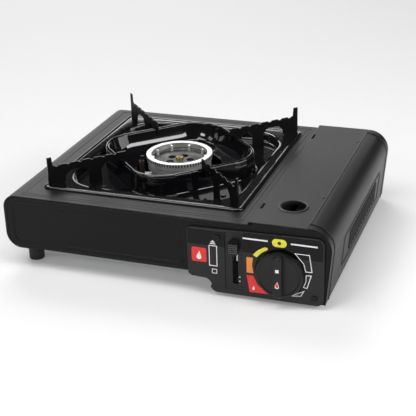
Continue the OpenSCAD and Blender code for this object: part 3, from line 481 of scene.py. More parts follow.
# A round cutter on the knob's axis, from before the fascia to behind the plate.
def spindleHole(name, extra):
    r = spindleR + extra
    return turned([(r, -3), (r, 8)], (knobX, faceY, knobZ), axis="y", steps=64).make(name)


# A slot that clears the lever's stem over the whole of its travel.
def leverSlot(name):
    half, clear = slot["width"] / 2, slot["clear"]
    return boxMesh((leverX - half, faceY - 1, leverLow[2] - slot["travel"] - clear),
                   (leverX + half, frontY + 3, leverLow[2] + slot["stem"] + clear)).make(name)


def lidCorner(inset=0.0):
    r = plate["lidRadius"]
    return np.concatenate([[(footX - inset, bayZ + plate["ledge"])],
                           arcPoints((rightX - r, lidZ - r), r - inset, 0, 90, 20)])


def plateOutline():
    gap, hingeSide = case["sheet"] + plate["seam"], hingeX + plate["hingeGap"]
    return np.concatenate([
        [(hingeSide, deckZ - gap)],
        arcPoints((leftX + topR, deckZ - topR), topR - gap, 90, 180, 16),
        arcPoints((leftX + footR, underZ + footR), footR - gap, 180, 270, 16),
        [(stepX[0], underZ + case["sheet"]), (stepX[1], bayZ), (footX, bayZ)], lidCorner(),
        [(creaseX, lidZ), (creaseX, lidZ - plate["underLid"]), (hingeSide, lidZ - plate["underLid"])]])


def rimOutline():
    return np.concatenate([lidCorner(), [(creaseX, lidZ), (creaseX, lidZ - plate["sheet"])],
                           lidCorner(plate["sheet"])[::-1]])


panelWide = bayX - panel["right"] - (leftX + panel["left"])
panelTall = deckZ - underZ - 2 * panel["margin"]
panelMid = (leftX + panel["left"] + panelWide / 2, underZ + panel["margin"] + panelTall / 2)


def panelOutline(inset=0.0):
    return roundRect(*panelMid, panelWide - 2 * inset, panelTall - 2 * inset, panel["radius"] - inset, 10)


# Pressed panel: rings of one rounded rectangle that shrink as they go in.
def pressedPanel():
    deep = panel["depth"]
    steps = [(-0.2, 0.8), (-0.2, 0.0), (0.3, 0.05), (0.8, 0.35), (1.3, 0.85), (1.8, 1.15),
             (2.6, deep), (2.6, deep + plate["sheet"])]
    builder = Builder()
    builder.rings([atY(panelOutline(inset), frontY + depth) for inset, depth in steps])
    return builder


# The front plate and its pressed panel take the darker copy of the paint as painted shade.
putPiece(alongY(plateOutline(), frontY, frontY + plate["sheet"]), "frontPlate", "case",
         "painted_black", ["front_plate"], bevel=plate["edge"], material=inks["plateFinish"],
         cutters=[alongY(panelOutline(), frontY - 2, frontY + 3).make("panelGap"),
                  spindleHole("plateHole", 1.0), leverSlot("plateSlot")])
putPiece(pressedPanel(), "frontPressedPanel", "case", "painted_black", material=inks["plateFinish"])
for name, y0, y1 in (("frontRim", frontY, frontY + plate["rimDepth"]),
                     ("rearRim", backY - plate["rimDepth"], backY)):
    putPiece(alongY(rimOutline(), y0, y1), name, "case", "painted_black", bevel=plate["rimEdge"])
plateLines = Builder()
roundEnd = plateOutline()[1:34]
inside = sheetOutline(roundEnd, roll["inside"])[len(roundEnd):][::-1]
rollY, rollZ = frontY + roll["sunk"], deckZ - roll["below"]
bead(plateLines, atY(inside, rollY), np.tile((0, -1.0, 0), (len(inside), 1)), roll["width"],
     roll["height"])
straightBead(plateLines, (leftX + topR, rollY, rollZ), (hingeX - roll["toHinge"], rollY, rollZ),
             (0, -1, 0), roll["width"], roll["height"])
# The roll takes the same painted-shade copy of the paint.
putPiece(plateLines, "frontPlateRoll", "case", "painted_black", material=inks["plateFinish"])
vents = []
for i in range(vent["count"]):
    x = panX + vent["pitch"] * (i - (vent["count"] - 1) / 2) - vent["width"] / 2
    vents.append(boxMesh((x, backY - 3, underZ + vent["low"]),
                         (x + vent["width"], backY + 2, underZ + vent["high"])).make("vent"))
putPiece(alongY(plateOutline(), backY - plate["sheet"], backY), "rearPlate", "case",
         "painted_black", ["rear_plate"], cutters=vents, bevel=plate["edge"])
print("stage: case")

# Lid: its section is thickened inwards, carried from front to back and cut. The sheet
# is a hair thinner than the CAD's.
lid = {"sheet": 0.784, "edge": 0.15, "fingerRadius": 12, "fingerBack": 44.7, "rollRadius": 1.5,
       "joint": 0.8, "knuckleGap": 0.4, "pinGap": 0.1}
louvre = {"count": 13, "first": -52, "pitch": 10, "width": 3, "low": 19, "high": 41,
          "hoodBack": 4.2, "hoodWidth": 3.0, "hoodHeight": 1.3, "hoodSunk": 0.2}
lidFrame = {"back": 8, "up": 29.25, "wide": 172, "tall": 31.5, "radius": 4, "width": 2.6,
            "height": 1.0, "sunk": 0.25}
creaseBead = {"ends": 10, "width": 1.8, "height": 0.5}
lidBand = {"fromRim": 2.4, "width": 2.0, "height": 0.95, "sunk": 0.3}
fingerY, fingerR = frontY + lid["fingerBack"], lid["fingerRadius"]
hingeZ = lidZ - lid["rollRadius"]
louvreY = [midY + louvre["first"] + louvre["pitch"] * i for i in range(louvre["count"])]


def lidLine():
    return np.concatenate([lidCorner(), [(hingeX, lidZ)],
                           arcPoints((hingeX, hingeZ), lid["rollRadius"], 100, 250, 8)])


lidCuts = [boxMesh((creaseX - 0.3, y0, 0), (creaseX + 60, y1, lidZ + 5)).make("rimGap")
           for y0, y1 in ((frontY - 1, frontY + plate["rimDepth"] + lid["joint"]),
                          (backY - plate["rimDepth"] - lid["joint"], backY + 1))]
for node in ("hinge_bracket_front", "hinge_bracket_rear"):
    low, high = corners(node)
    lidCuts.append(boxMesh((hingeX - 4, low[1] - lid["knuckleGap"], hingeZ - 4),
                           (hingeX + 3, high[1] + lid["knuckleGap"], hingeZ + 4)).make("knuckleGap"))
lidCuts.append(turned([(fingerR, -5), (fingerR, 5)], (knobX, fingerY, lidZ), steps=72).make("fingerHole"))
# Bore for the hinge pins through the rolled edge.
boreR = pinR + lid["pinGap"]
lidCuts.append(turned([(boreR, frontY - 1), (boreR, backY + 1)], (hingeX, 0, hingeZ), axis="y",
                      steps=48).make("pinBore"))
for y in louvreY:
    lidCuts.append(boxMesh((rightX - 10, y, bayZ + louvre["low"]),
                           (rightX + 10, y + louvre["width"], bayZ + louvre["high"])).make("louvre"))
putPiece(alongY(sheetOutline(lidLine(), lid["sheet"]), frontY, backY), "lidShell", "lid",
         "painted_black", ["lid"], cutters=lidCuts, bevel=lid["edge"])
# Rolled rim of the finger hole: its section, turned about the hole.
rimProfile = [(fingerR + out, up) for out, up in (
    (3.4, -0.8), (3.3, 0.1), (2.4, 0.7), (1.2, 0.78), (0.3, 0.4), (-0.1, -0.4), (-0.1, -2.6),
    (0.7, -2.6), (0.9, -0.9), (3.4, -0.8))]
putPiece(turned(rimProfile, (knobX, fingerY, lidZ), steps=96, capped=False), "fingerHoleRim", "lid",
         "painted_black")

# The lid's side leans out by sideLean over its height, up to where the corner starts.
sideFoot = bayZ + plate["ledge"]
sideTall = lidZ - plate["lidRadius"] - sideFoot


def sidePoint(z):
    return footX + plate["sideLean"] * (z - sideFoot) / sideTall


lidLines = Builder()
straightBead(lidLines, (creaseX, frontY + creaseBead["ends"], lidZ),
             (creaseX, backY - creaseBead["ends"], lidZ), (0, 0, 1), creaseBead["width"],
             creaseBead["height"])
outline = roundRect(midY + lidFrame["back"], bayZ + lidFrame["up"], lidFrame["wide"],
                    lidFrame["tall"], lidFrame["radius"], 8)
lean = np.array([1.0, 0, -plate["sideLean"] / sideTall])
lean /= np.linalg.norm(lean)
sideX = sidePoint(outline[:, 1]) - lidFrame["sunk"]
bead(lidLines, np.column_stack([sideX, outline]), np.tile(lean, (len(outline), 1)), lidFrame["width"],
     lidFrame["height"], closed=True)
# A hood over each louvre: a low ridge down its rear edge.
hoodLow, hoodHigh = bayZ + louvre["low"], bayZ + louvre["high"]
for y in [y + louvre["hoodBack"] for y in louvreY]:
    straightBead(lidLines, (sidePoint(hoodLow) - louvre["hoodSunk"], y, hoodLow),
                 (sidePoint(hoodHigh) - louvre["hoodSunk"], y, hoodHigh), lean,
                 louvre["hoodWidth"], louvre["hoodHeight"])
# A band beside each rim, over the top and down the side.
overLid = lidCorner()[::-1]
outwards = np.stack([np.gradient(overLid[:, 1]), -np.gradient(overLid[:, 0])], 1)
outwards *= np.sign(outwards[:, :1] + outwards[:, 1:])
outwards /= np.linalg.norm(outwards, axis=1)[:, None]
bandIn = plate["rimDepth"] + lidBand["fromRim"]
for y in (frontY + bandIn, backY - bandIn):
    up = atY(outwards, 0.0)
    bead(lidLines, atY(overLid, y) - up * lidBand["sunk"], up, lidBand["width"], lidBand["height"])
putPiece(lidLines, "lidPressings", "lid", "painted_black")

# Fine raised lines on the deck, along the front and back and beside the pan.
longBead = {"left": 18, "right": 8, "width": 1.4, "height": 0.3}
crossBead = {"front": 14, "back": 12, "width": 1.2, "height": 0.28}
deckLines = Builder()
for y in (frontY + 6.5, frontY + 10.5, backY - 8):
    straightBead(deckLines, (leftX + longBead["left"], y, deckZ), (hingeX - longBead["right"], y, deckZ),
                 (0, 0, 1), longBead["width"], longBead["height"])
for x in (leftX + 20, panHigh[0] + 3.2, panHigh[0] + 7.0):
    straightBead(deckLines, (x, frontY + crossBead["front"], deckZ), (x, backY - crossBead["back"], deckZ),
                 (0, 0, 1), crossBead["width"], crossBead["height"])
putPiece(deckLines, "deckPressings", "case", "painted_black")
dimple = {"fromFront": 73, "fromBack": 41, "fromCrease": 3.4}
dimples = Builder()
for y in (frontY + dimple["fromFront"], backY - dimple["fromBack"]):
    turned([(2.2, -0.3), (2.0, 0.25), (1.2, 0.45), (0.4, 0.5)], (creaseX - dimple["fromCrease"], y, lidZ),
           steps=24, builder=dimples)
putPiece(dimples, "lidDimples", "lid", "painted_black")
print("stage: lid")

pan = {"wall": 1.0, "border": 1.2, "depth": 8, "collarHalf": 67.8, "collarRadius": 36,
       "holeRadius": 46, "steps": 480}
borderZ, dishZ, collarZ = deckZ + pan["border"], deckZ - pan["depth"], panHigh[2]


# A level ring about the burner, from its radius in each direction.
def levelRing(a, r, z):
    return np.stack([panX + r * np.cos(a), panY + r * np.sin(a), np.full(len(a), z)], 1)


# Pan: rings about the burner, each a rounded rectangle, a rounded square on its
# corner, a circle, or a mean of two, with a height that follows the pressed sheet.
def panSurface():
    a = np.linspace(0, 2 * np.pi, pan["steps"], endpoint=False)
    halfX, halfY = (panHigh[0] - panLow[0]) / 2, (panHigh[1] - panLow[1]) / 2

    def edge(inset):
        return roundRectReach(a, halfX - inset, halfY - inset, max(5 - inset, 2))

    def moat(inset):
        return roundRectReach(a, moatWidth / 2 - inset, moatDepth / 2 - inset,
                              case["moatRadius"] - inset)

    def collar(inset):
        half = pan["collarHalf"] - inset
        return roundRectReach(a - np.pi / 4, half, half, pan["collarRadius"] - inset)

    def circle(radius):
        return np.full(len(a), float(radius))

    border = [(edge(0), deckZ + 0.2), (edge(0), borderZ - 0.1), (edge(0.25), borderZ + 0.35),
              (edge(0.8), borderZ + 0.62), (edge(1.5), borderZ + 0.6), (edge(2.1), borderZ + 0.25),
              (edge(2.6), borderZ - 0.15), (edge(3.4), borderZ - 0.2), (edge(4.4), borderZ)]
    moatWall = [(moat(-2.0), borderZ), (moat(-0.6), borderZ - 0.1), (moat(0.3), borderZ - 0.5),
                (moat(0.9), borderZ - 1.4), (moat(1.5), dishZ + 5.5), (moat(2.2), dishZ + 2.4),
                (moat(3.1), dishZ + 0.8), (moat(4.4), dishZ),
                ((moat(4.4) + collar(-4.2)) / 2, dishZ), (collar(-4.2), dishZ)]
    collarWall = [(collar(-2.8), dishZ + 0.8), (collar(-1.9), dishZ + 3), (collar(-1.1), dishZ + 10),
                  (collar(-0.4), collarZ - 2.4), (collar(-0.3), collarZ - 1),
                  (collar(0.0), collarZ - 0.3), (collar(0.7), collarZ), (collar(1.5), collarZ - 0.25),
                  (collar(2.0), collarZ - 1.1), (collar(3.2), collarZ - 6)]
    dish = [(collar(6.0), dishZ + 8.5), (collar(9.0), dishZ + 4), (collar(12.0), dishZ + 1.6),
            (circle(51.0), dishZ + 0.6), (circle(48.0), dishZ + 0.2),
            (circle(pan["holeRadius"]), dishZ + 0.1)]
    rings = np.array([levelRing(a, np.minimum(r, edge(0)), z)
                      for r, z in border + moatWall + collarWall + dish])
    builder = Builder()
    builder.add(rings, gridFaces(len(rings), len(a), wrapCols=True)[:, ::-1])
    return builder


putPiece(panSurface(), "dripPan", "pan", "enamel_black", ["drip_pan"], thickness=pan["wall"],
         outward=False, sharp=50)
print("stage: drip pan")

support = {"thickness": 1.5, "edge": 0.35, "teeth": 6, "scallop": 3.0, "biteRise": 1.6, "inset": 4,
           "postWide": 5, "postTall": 9.5, "footOut": 22, "footWide": 14, "footLong": 11}
footIn = pan["collarHalf"] + support["footOut"]


# Support outline: distance from the burner and height, with round bites in the top edge.
def supportOutline(reach, edgeZ, postZ):
    hook, rise, bite = pan["collarHalf"], edgeZ - 8, support["scallop"]
    footEnd, post0 = footIn + support["footWide"], reach - support["postWide"]
    pitch = (post0 - 3 - (hook - 4)) / support["teeth"]
    half = math.degrees(math.acos(support["biteRise"] / bite))
    bites = np.concatenate([arcPoints((hook + pitch * (i + 0.5), edgeZ + support["biteRise"]), bite,
                                      270 + half, 270 - half, 9)
                            for i in range(support["teeth"] - 1, -1, -1)])
    overCollar = [(hook - 6.2, edgeZ), (hook - 6.2, collarZ - 5), (hook - 2.2, collarZ - 5),
                  (hook - 2.2, collarZ + 0.3), (hook + 0.4, collarZ + 0.3), (hook + 0.4, collarZ - 8),
                  (hook + 4, collarZ - 8), (hook + 8, rise - 5), (hook + 14, rise)]
    footLeg = [(footIn - 5, rise), (footIn, rise - 6), (footIn, dishZ), (footEnd, dishZ),
               (footEnd, rise - 6), (footEnd + 4, rise)]
    post = [(post0 - 20, rise), (post0 - 14, rise - 6), (post0 - 14, borderZ + 3),
            (post0 - 11, borderZ), (reach, borderZ), (reach, postZ), (post0, postZ), (post0 - 1, edgeZ)]
    return np.concatenate([overCollar, footLeg, post, bites])


# potSupportRearLeft from pot_support_rear_left.
def pieceName(node):
    first, *rest = node.split("_")
    return first + "".join(word.title() for word in rest)


reachX, reachY = ((panHigh[i] - panLow[i]) / 2 - support["inset"] for i in (0, 1))
postZ = corners("pot_support_front_left")[1][2]
for node, sx, sy in (("pot_support_rear_right", 1, 1), ("pot_support_rear_left", -1, 1),
                     ("pot_support_front_left", -1, -1), ("pot_support_front_right", 1, -1)):
    turn = math.atan2(sy * reachY, sx * reachX)
    half = support["thickness"] / 2
    flat = alongY(supportOutline(math.hypot(reachX, reachY), postZ - support["postTall"], postZ),
                  -half, half)
    boxMesh((footIn, 0, dishZ), (footIn + support["footWide"], support["footLong"],
                                 dishZ + support["thickness"]), flat)
    points = np.concatenate(flat.points)
    x = panX + points[:, 0] * math.cos(turn) - points[:, 1] * math.sin(turn)
    y = panY + points[:, 0] * math.sin(turn) + points[:, 1] * math.cos(turn)
    flat.points = [np.stack([x, y, points[:, 2]], 1)]
    blade = putPiece(flat, pieceName(node), "pan", "enamel_black", [node], bevel=support["edge"])
    # The flat sides take the dull copy of the enamel as painted shade; the edges keep the gloss.
    across = np.array([-math.sin(turn), math.cos(turn), 0])
    paintWhere(blade, inks["supportSide"], lambda centre, normal: np.abs(normal @ across) > 0.95)
print("stage: pot supports")

burner = {"slots": 72, "slotDepth": 1.6, "posts": 9, "postIn": 7.4, "holes": 5, "holeRadius": 4.2,
          "holeOut": 11.5, "rimWidth": 5.5, "toothTop": 0.9, "toothFoot": 4.0, "wallFoot": 5.6}
headLow, headHigh = corners("burner_head")
headR, headZ = (headHigh[0] - headLow[0]) / 2, headHigh[2]


# Burner head: a turned section whose rim is notched from below, so the radius is
# the section's less a step repeated round the axis. A 1 marks the notched rows.
def burnerSurface():
    a = np.linspace(0, 2 * np.pi, 1440, endpoint=False)
    slots = (np.cos(a * burner["slots"]) > 0.1).astype(float)
    inner = headR - burner["rimWidth"]
    low, high = -burner["toothFoot"], -burner["toothTop"]
    rows = [(2, -9.5, 0), (inner - 1, -9.5, 0), (inner + 1.4, -7, 0),
            (inner + 1.4, -3.6, 0), (headR - 2.4, -3.6, 0), (headR - 2.4, -8, 0),
            (headR - 1.0, -8, 0), (headR - 0.8, -7.8, 0), (headR - 0.8, low - 0.3, 0),
            (headR, low, 1), (headR, high - 0.1, 1), (headR, high, 0), (headR, -0.5, 0),
            (headR - 0.15, -0.15, 0), (headR - 0.5, 0, 0),
            (inner + 0.5, 0, 0), (inner + 0.1, -0.2, 0), (inner, -0.6, 0),
            (inner - 0.1, -5.5, 0), (inner - 0.8, -7.2, 0), (inner - 2, -8, 0), (2, -8, 0)]
    rings = [levelRing(a, r - slot * slots * burner["slotDepth"], headZ + z) for r, z, slot in rows]
    builder = Builder()
    builder.rings(rings + rings[:1], capped=False)
    return builder


# Places evenly round the burner's axis, at the height of the head's top.
def roundBurner(count, first, radius):
    turns = np.linspace(first, 2 * math.pi + first, count, endpoint=False)
    return [(panX + radius * math.cos(t), panY + radius * math.sin(t), headZ) for t in turns]


holeCuts = [turned([(burner["holeRadius"], -12), (burner["holeRadius"], -6)], place,
                   steps=28).make("floorHole")
            for place in roundBurner(burner["holes"], 0.2, burner["holeOut"])]
head = putPiece(burnerSurface(), "burnerHead", "case", "cast_aluminium", ["burner_head"],
                cutters=holeCuts, sharp=40)


# Faces of the head between two distances from its axis and two depths below its top.
def headBand(near, far, deep, shallow):
    def test(centre, normal):
        reach = np.hypot(centre[:, 0] - panX, centre[:, 1] - panY)
        level = centre[:, 2] - headZ
        return (reach > near) & (reach < far) & (level > deep) & (level < shallow)
    return test


# Soot with painted shade between the teeth, painted shade on the bowl's floor and, lighter, on its wall,
# and a painted highlight on the rim.
bowlR = headR - burner["rimWidth"]
paintWhere(head, inks["portSoot"], headBand(headR - 2.6, headR - 0.3, -burner["toothFoot"] - 0.05,
                                            -burner["toothTop"] + 0.05))
paintWhere(head, inks["bowlCast"], headBand(0, bowlR - 0.4, -99, -burner["wallFoot"]))
paintWhere(head, inks["wallCast"], headBand(0, bowlR + 0.02, -burner["wallFoot"], -0.5))
paintWhere(head, inks["rimMetal"],
           lambda centre, normal: (normal[:, 2] > 0.6) & (centre[:, 2] > headZ - 0.6))

# Posts round the bowl's wall, with rounded tops.
posts = Builder()
for place in roundBurner(burner["posts"], 0.15, headR - burner["postIn"]):
    turned([(1.6, -8.2), (1.5, -2.4), (1.2, -1.9), (0.5, -1.7)], place, steps=20, builder=posts)
putPiece(posts, "burnerPosts", "case", "cast_aluminium")
print("stage: burner")

# Control fascia, and the marks printed on it.
fascia = {"edge": 0.5, "corner": 7.5, "toe": 8, "grooveWidth": 1.6, "grooveDepth": 1.2,
          "printHeight": 0.12, "printSunk": 0.05, "skin": 0.04}
recess = {"left": 9.8, "right": 8.1, "low": 3.5, "below": 9, "depth": 1.4}
band = {"foot": 51.2, "left": 8.4, "inset": 1.2, "radius": 6.4, "below": 1.8}


def fasciaOutline():
    x0, x1, z0, z1 = fasLow[0], fasHigh[0], fasLow[2], fasHigh[2] - 3
    corner, toe = fascia["corner"], fascia["toe"]
    return np.concatenate([
        arcPoints((x0 + 4, z1 - 4), 4, 170, 92, 8), arcPoints((x1 - corner, z1 - 4.5), corner, 90, 0, 10),
        arcPoints((x1 - corner, z0 + corner), corner, 0, -90, 10),
        arcPoints((stepX[1] + 3, z0 + toe), toe, 270, 200, 8),
        arcPoints((stepX[0] - 2, z0 + 6), toe, 15, 90, 8),
        [(x0 + 4, z0 + 14.5), (x0 + 0.5, z0 + 17)]])


knobR = (knobHigh[0] - knobLow[0]) / 2
grooveR, deep = knobR + fascia["grooveWidth"], fascia["grooveDepth"]
groove = turned([(grooveR, -1), (grooveR, deep), (knobR - 0.5, deep), (knobR - 0.5, -1), (grooveR, -1)],
                (knobX, faceY, knobZ), axis="y", steps=120, capped=False).make("groove")
leverRecess = boxMesh((leverX - recess["left"], faceY - 1, bayZ + recess["low"]),
                      (leverX + recess["right"], faceY + recess["depth"], deckZ - recess["below"]))
putPiece(alongY(fasciaOutline(), faceY, frontY), "controlFascia", "case", "panel_plastic",
         ["control_panel"], bevel=fascia["edge"], segments=3,
         cutters=[leverRecess.make("recess"), leverSlot("slot"), groove, spindleHole("fasciaHole", 0.06)])

# The band above the knob and the upper left corner are polished: thin skins on the face.
bandLeft, corner = leverX + band["left"], fascia["corner"]
bandOutline = np.concatenate([
    [(bandLeft, band["foot"]), (fasHigh[0] - band["inset"], band["foot"])],
    arcPoints((fasHigh[0] - corner, fasHigh[2] - corner), band["radius"], 0, 90, 8),
    [(bandLeft, fasHigh[2] - band["below"])]])
cornerOutline = bar(fasLow[0] + 1.0, 53.5, leverX - 10.2, fasHigh[2] - 4.4)
for name, outline in (("fasciaBand", bandOutline), ("fasciaCorner", cornerOutline)):
    putPiece(alongY(outline, faceY - fascia["skin"], faceY + fascia["printSunk"]), name, "case",
             "panel_plastic", material=inks["bandGloss"])


# Printed marks: thin flat shapes, and lines, that stand a hair proud of the face.
def printMarks(name, ink, outlines, lift=1.0, lines=(), sunk=0.0):
    builder = Builder()
    for points, width in lines:
        outlineMark(builder, points, width)
    front, back = sunk - fascia["printHeight"] * lift, sunk + fascia["printSunk"]
    for outline in outlines:
        alongY(outline, faceY + front, faceY + back, builder)
    putPiece(builder, name, "case", "panel_plastic", material=inks[ink])


# A line of even width round a closed outline: four rings joined in a loop.
def outlineMark(builder, points, width):
    points = np.asarray(points, float)
    nextX, nextZ = np.roll(points, -1, 0).T
    if np.sum(points[:, 0] * nextZ - nextX * points[:, 1]) < 0:
        points = points[::-1]
    looped = np.concatenate([points[-1:], points, points[:1]])
    inner = sheetOutline(looped, width)[len(looped):][::-1][1:-1]
    front, back = faceY - fascia["printHeight"], faceY + fascia["printSunk"]
    builder.rings([atY(points, front), atY(inner, front), atY(inner, back), atY(points, back)],
                  wrapRows=True)


# A flame: a teardrop with a tongue, as a closed outline.
def flame(cx, cz, size):
    t = np.linspace(0, 2 * np.pi, 28, endpoint=False)
    x = np.sin(t) * (1 - np.cos(t)) * 0.42
    z = np.cos(t) * 0.9 + 0.05 * np.sin(2 * t)
    return np.stack([cx + size * x * 0.9 + size * 0.08 * z, cz + size * z], 1)


# White rules, an arrow and a cartridge on the left, and the outlined scale by the knob.
printMarks("printWhite", "inkWhite", [
    bar(85.1, 64.9, 109.5, 66.5), bar(131.6, 64.9, 157.2, 66.5),
    [(52.6, 57.0), (57.4, 57.0), (55, 59.6)], bar(52.2, 55.2, 57.8, 56.2)], lines=[
    (bar(50.9, 32.0, 59.3, 54.0), 0.8), (bar(53.6, 24.2, 58.8, 29.0), 0.6),
    ([(135, 56.8), (149.8, 56.8), (152.5, 38.8), (145.7, 38.5), (143.8, 46.5)], 0.8),
    ([(146.2, 35.5), (151.9, 35.8), (147.7, 21.4), (143.4, 21.8), (145.9, 28.5)], 0.8),
    ([(145.3, 18.9), (130.3, 10.9), (141.8, 12.2)], 0.7)])
printMarks("printDots", "inkWhite", [bar(leverX + 3.6, z, leverX + 5.0, z + 1.0) for z in (18.1, 22.6)],
           sunk=recess["depth"])
printMarks("printYellow", "inkYellow", [
    roundRect(120.7, 65, 14.2, 8.2, 4.05, 8),
    np.concatenate([[(109.8, 58.5)], arcPoints((117.0, 34.0), 27.0, 112, 145, 8), [(98.4, 47.4)],
                    arcPoints((119.5, 34.0), 24.6, 143, 116, 8)])])
printMarks("printOrange", "inkOrange", [[(88.5, 46.4), (95.0, 46.4), (94.0, 38), (95.2, 30), (88.5, 30)]])
printMarks("printRed", "inkRed", [
    roundRect(40.9, 42.5, 15, 15, 1.6, 5),
    [(88.4, 27.4), (95.0, 27.4), (99.4, 18.2), (106.0, 12.4), (113.6, 9.9), (91.2, 9.4)]])
printMarks("printSymbols", "inkWhite", [flame(40.9, 42.0, 5.0), flame(95.2, 14.6, 2.6)], lift=1.8)
printMarks("printDot", "inkBlack", [roundRect(120.7, 65, 3.4, 3.4, 1.69, 8)], lift=1.8)

# Knob: a turned disc with a tapered grip across it, and two marks on the grip.
knob = {"gripWidth": 9.6, "gripShort": 3.4, "discOut": 6, "markHalf": 1.7, "markLow": 6.2,
        "markHigh": 9.6, "flameDown": 6.5}
hubY, gripY, discY = knobHigh[1], knobLow[1], faceY - knob["discOut"]
disc = [(4, hubY), (knobR - 0.8, hubY), (knobR, hubY - 0.6), (knobR, discY + 1.2),
        (knobR - 0.35, discY + 0.4), (knobR - 1.2, discY), (knobR - 2.6, discY - 0.1),
        (knobR - 3.4, discY + 0.5), (4, discY + 0.5)]
putPiece(turned(disc, (knobX, 0, knobZ), axis="y", steps=120), "knobDisc", "knob", "knob_plastic",
         ["knob"])


# Grip: rounded rectangles that narrow as they stand out from the disc.
def gripSurface():
    steps = [(discY + 0.6, -0.6), (discY, 0.0), (gripY + 1.0, 0.5), (gripY + 0.35, 0.9),
             (gripY + 0.05, 1.6)]
    builder = Builder()
    builder.rings([atY(roundRect(knobX, knobZ, knob["gripWidth"] - 2 * narrow,
                                 2 * knobR - knob["gripShort"] - 2 * narrow, 3 - narrow / 2, 8), y)
                   for y, narrow in steps])
    return builder


putPiece(gripSurface(), "knobGrip", "knob", "knob_plastic")
markOutline = bar(knobX - knob["markHalf"], knobZ + knob["markLow"], knobX + knob["markHalf"],
                  knobZ + knob["markHigh"])
flameZ = knobZ - knob["flameDown"]
for name, outline, ink, near, far in (
        ("knobMark", markOutline, "inkWhite", 0.0, 0.4),
        ("knobFlameEdge", flame(knobX, flameZ, 4.2), "inkWhite", 0.01, 0.3),
        ("knobFlame", flame(knobX, flameZ, 3.1), "inkRed", -0.03, 0.3)):
    putPiece(alongY(outline, gripY + near, gripY + far), name, "knob", "knob_plastic",
             material=inks[ink])

lever = {"ribs": 6, "ribHeight": 0.7, "padTall": 12, "padBelow": 0.6, "padOut": 6.6,
         "halfWide": 4.1, "swell": 0.5, "stemHalf": 2}


# Lever grip: level sections whose front edge steps in a wave, so ribs run across.
# Both ends ease back, and its stem goes in through the slot.
def leverSurface():
    n, high = lever["ribs"], leverHigh[2] - lever["padBelow"]
    low = high - lever["padTall"]
    z = np.linspace(low, high, 12 * n + 1)
    t = (z - low) / (high - low)
    end = np.minimum(1, np.minimum(t, 1 - t) * 9)
    wave = lever["ribHeight"] * (0.5 - 0.5 * np.cos(2 * np.pi * n * t)) * end
    front = faceY - lever["padOut"] * end ** 0.5 - wave
    half, back = lever["halfWide"] + lever["swell"] * end, np.full(len(z), faceY - 0.5)
    columns = [np.stack([leverX + side * half, y, z], 1) for side, y in (
        (-1, back), (1, back), (1, front + 0.7), (0.86, front), (-0.86, front), (-1, front + 0.7))]
    builder = Builder()
    builder.rings(np.stack(columns, 1))
    boxMesh((leverX - lever["stemHalf"], faceY - 0.6, leverLow[2]),
            (leverX + lever["stemHalf"], leverHigh[1], leverLow[2] + slot["stem"]), builder)
    return builder


putPiece(leverSurface(), "leverHandle", "lever", "knob_plastic", ["lever_handle"])
print("stage: controls")

foot = {"edge": 1.0, "bore": 3.2}
for node in ("foot_front_left", "foot_rear_left", "foot_front_right", "foot_rear_right"):
    low, high = corners(node)
    r, tall = (high[0] - low[0]) / 2, high[2] - low[2] - 0.01
    profile = [(foot["bore"], tall), (r, tall), (r, foot["edge"] * 1.2), (r - 0.35, 0.4), (r - 1.0, 0.0),
               (foot["bore"], 0.0), (foot["bore"], tall)]
    putPiece(turned(profile, ((low[0] + high[0]) / 2, (low[1] + high[1]) / 2, low[2]), steps=64,
                    capped=False), pieceName(node), "case", "rubber_black", [node])

# The pieces kept from the CAD take the finish of their slot.
slotOf = {part["node"]: part["material_slot"] for part in frame["record"]["subparts"]}
for node, obj in frame["nodes"].items():
    if len(obj.material_slots) == 0:
        obj.data.materials.append(finishes[slotOf[node]])
    for place in obj.material_slots:
        place.material = finishes[slotOf[node]]
for place in frame["nodes"]["electrode"].material_slots:
    place.material = inks["sootySteel"]
print("stage: kept pieces")

# Studio: a white floor, eight soft lights and a bright background. Lengths of the
# lights and the camera are in metres.
studio = {"floor": 0.74, "glow": 0.12, "surround": 0.05, "background": 1.1, "aimHeight": 0.05}
lights = {  # place, the x that it points at, width, height and power
    "rearSoftbox": ((-0.95, 1.4, 1.75), 0, 1.2, 0.8, 20),
    "sideSoftbox": ((1.5, 0.1, 0.35), 0.1, 1.2, 0.8, 9),
    "topSoftbox": ((0.15, -0.25, 1.5), 0, 0.9, 0.35, 8),
    "backPanel": ((-0.75, 2.1, 0.52), 0, 2.6, 0.55, 9),
    "windowSoftbox": ((-0.47, -0.62, 1.3), 0, 0.9, 0.35, 6),
    "frontSoftbox": ((-0.85, -2.0, 1.4), 0, 0.8, 0.35, 10),
    "rightWindow": ((1.3, -0.39, 0.9), 0, 0.8, 0.3, 8),
    "leftSoftbox": ((-1.3, -0.5, 0.9), 0, 0.6, 0.4, 2)}

for name, (place, aimX, width, height, power) in lights.items():
    light = bpy.data.lights.new(name, "AREA")
    light.shape = "RECTANGLE"
    light.size, light.size_y, light.energy = width, height, power
    turn = (Vector(place) - Vector((aimX, 0, studio["aimHeight"]))).to_track_quat("Z", "Y")
    lamp = bpy.data.objects.new(name, light)
    lamp.matrix_world = Matrix.Translation(place) @ turn.to_matrix().to_4x4()
    bpy.context.collection.objects.link(lamp)

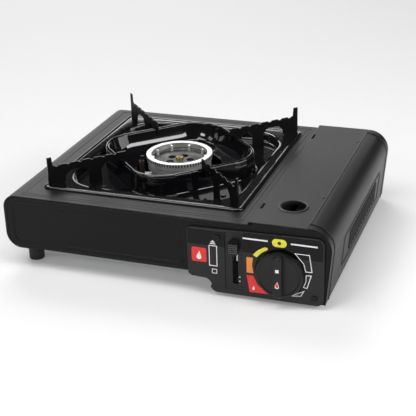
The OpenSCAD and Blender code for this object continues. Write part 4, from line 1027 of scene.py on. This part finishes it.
floorHalf, floorZ = 6000, -0.05
floorMesh = Builder()
floorMesh.add([(x, y, floorZ) for x, y in bar(-floorHalf, -floorHalf, floorHalf, floorHalf)],
              [(0, 1, 2, 3)])
floor = floorMesh.make("floor")
bpy.context.collection.objects.link(floor)
floorPaint = bpy.data.materials.new("studioFloor")
floorPaint.use_nodes = True
floorShader = floorPaint.node_tree.nodes["Principled BSDF"]
white = (1, 1, 1, 1)
setInputs(floorShader, {"Base Color": (studio["floor"],) * 3 + (1,), "Roughness": 0.8,
                        "Specular IOR Level": 0.1, "Emission Color": white,
                        "Emission Strength": studio["glow"]})
floor.data.materials.append(floorPaint)

# The camera sees a white background, while the stove is lit by a dim one.
world = bpy.data.worlds.new("studio")
bpy.context.scene.world = world
world.use_nodes = True
tree = world.node_tree
surround, seen = tree.nodes["Background"], tree.nodes.new("ShaderNodeBackground")
setInputs(surround, {"Color": white, "Strength": studio["surround"]})
setInputs(seen, {"Color": white, "Strength": studio["background"]})
rays, mixer = tree.nodes.new("ShaderNodeLightPath"), tree.nodes.new("ShaderNodeMixShader")
tree.links.new(rays.outputs["Is Camera Ray"], mixer.inputs[0])
tree.links.new(surround.outputs[0], mixer.inputs[1])
tree.links.new(seen.outputs[0], mixer.inputs[2])
tree.links.new(mixer.outputs[0], tree.nodes["World Output"].inputs["Surface"])
bpy.context.scene.view_settings.view_transform = "Standard"

# Camera: angles in degrees, lens in millimetres on a 36 mm sensor.
view = {"eye": (0.36652, -0.98431, 0.50385), "yaw": 20.26, "pitch": -24.34, "roll": -1.85,
        "lens": 92.46, "sensor": 36}


def placeCamera():
    yaw, pitch, roll = (math.radians(view[k]) for k in ("yaw", "pitch", "roll"))
    forward = Vector((-math.sin(yaw) * math.cos(pitch), math.cos(yaw) * math.cos(pitch), math.sin(pitch)))
    level = Vector((math.cos(yaw), math.sin(yaw), 0))
    square = level.cross(forward)
    right = math.cos(roll) * level + math.sin(roll) * square
    up = -math.sin(roll) * level + math.cos(roll) * square
    camera = bpy.data.objects.new("camera", bpy.data.cameras.new("camera"))
    camera.data.lens, camera.data.sensor_width = view["lens"], view["sensor"]
    turn = Matrix((right, up, -forward)).transposed().to_4x4()
    camera.matrix_world = Matrix.Translation(view["eye"]) @ turn
    bpy.context.collection.objects.link(camera)
    bpy.context.scene.camera = camera


placeCamera()
print("stage: studio")
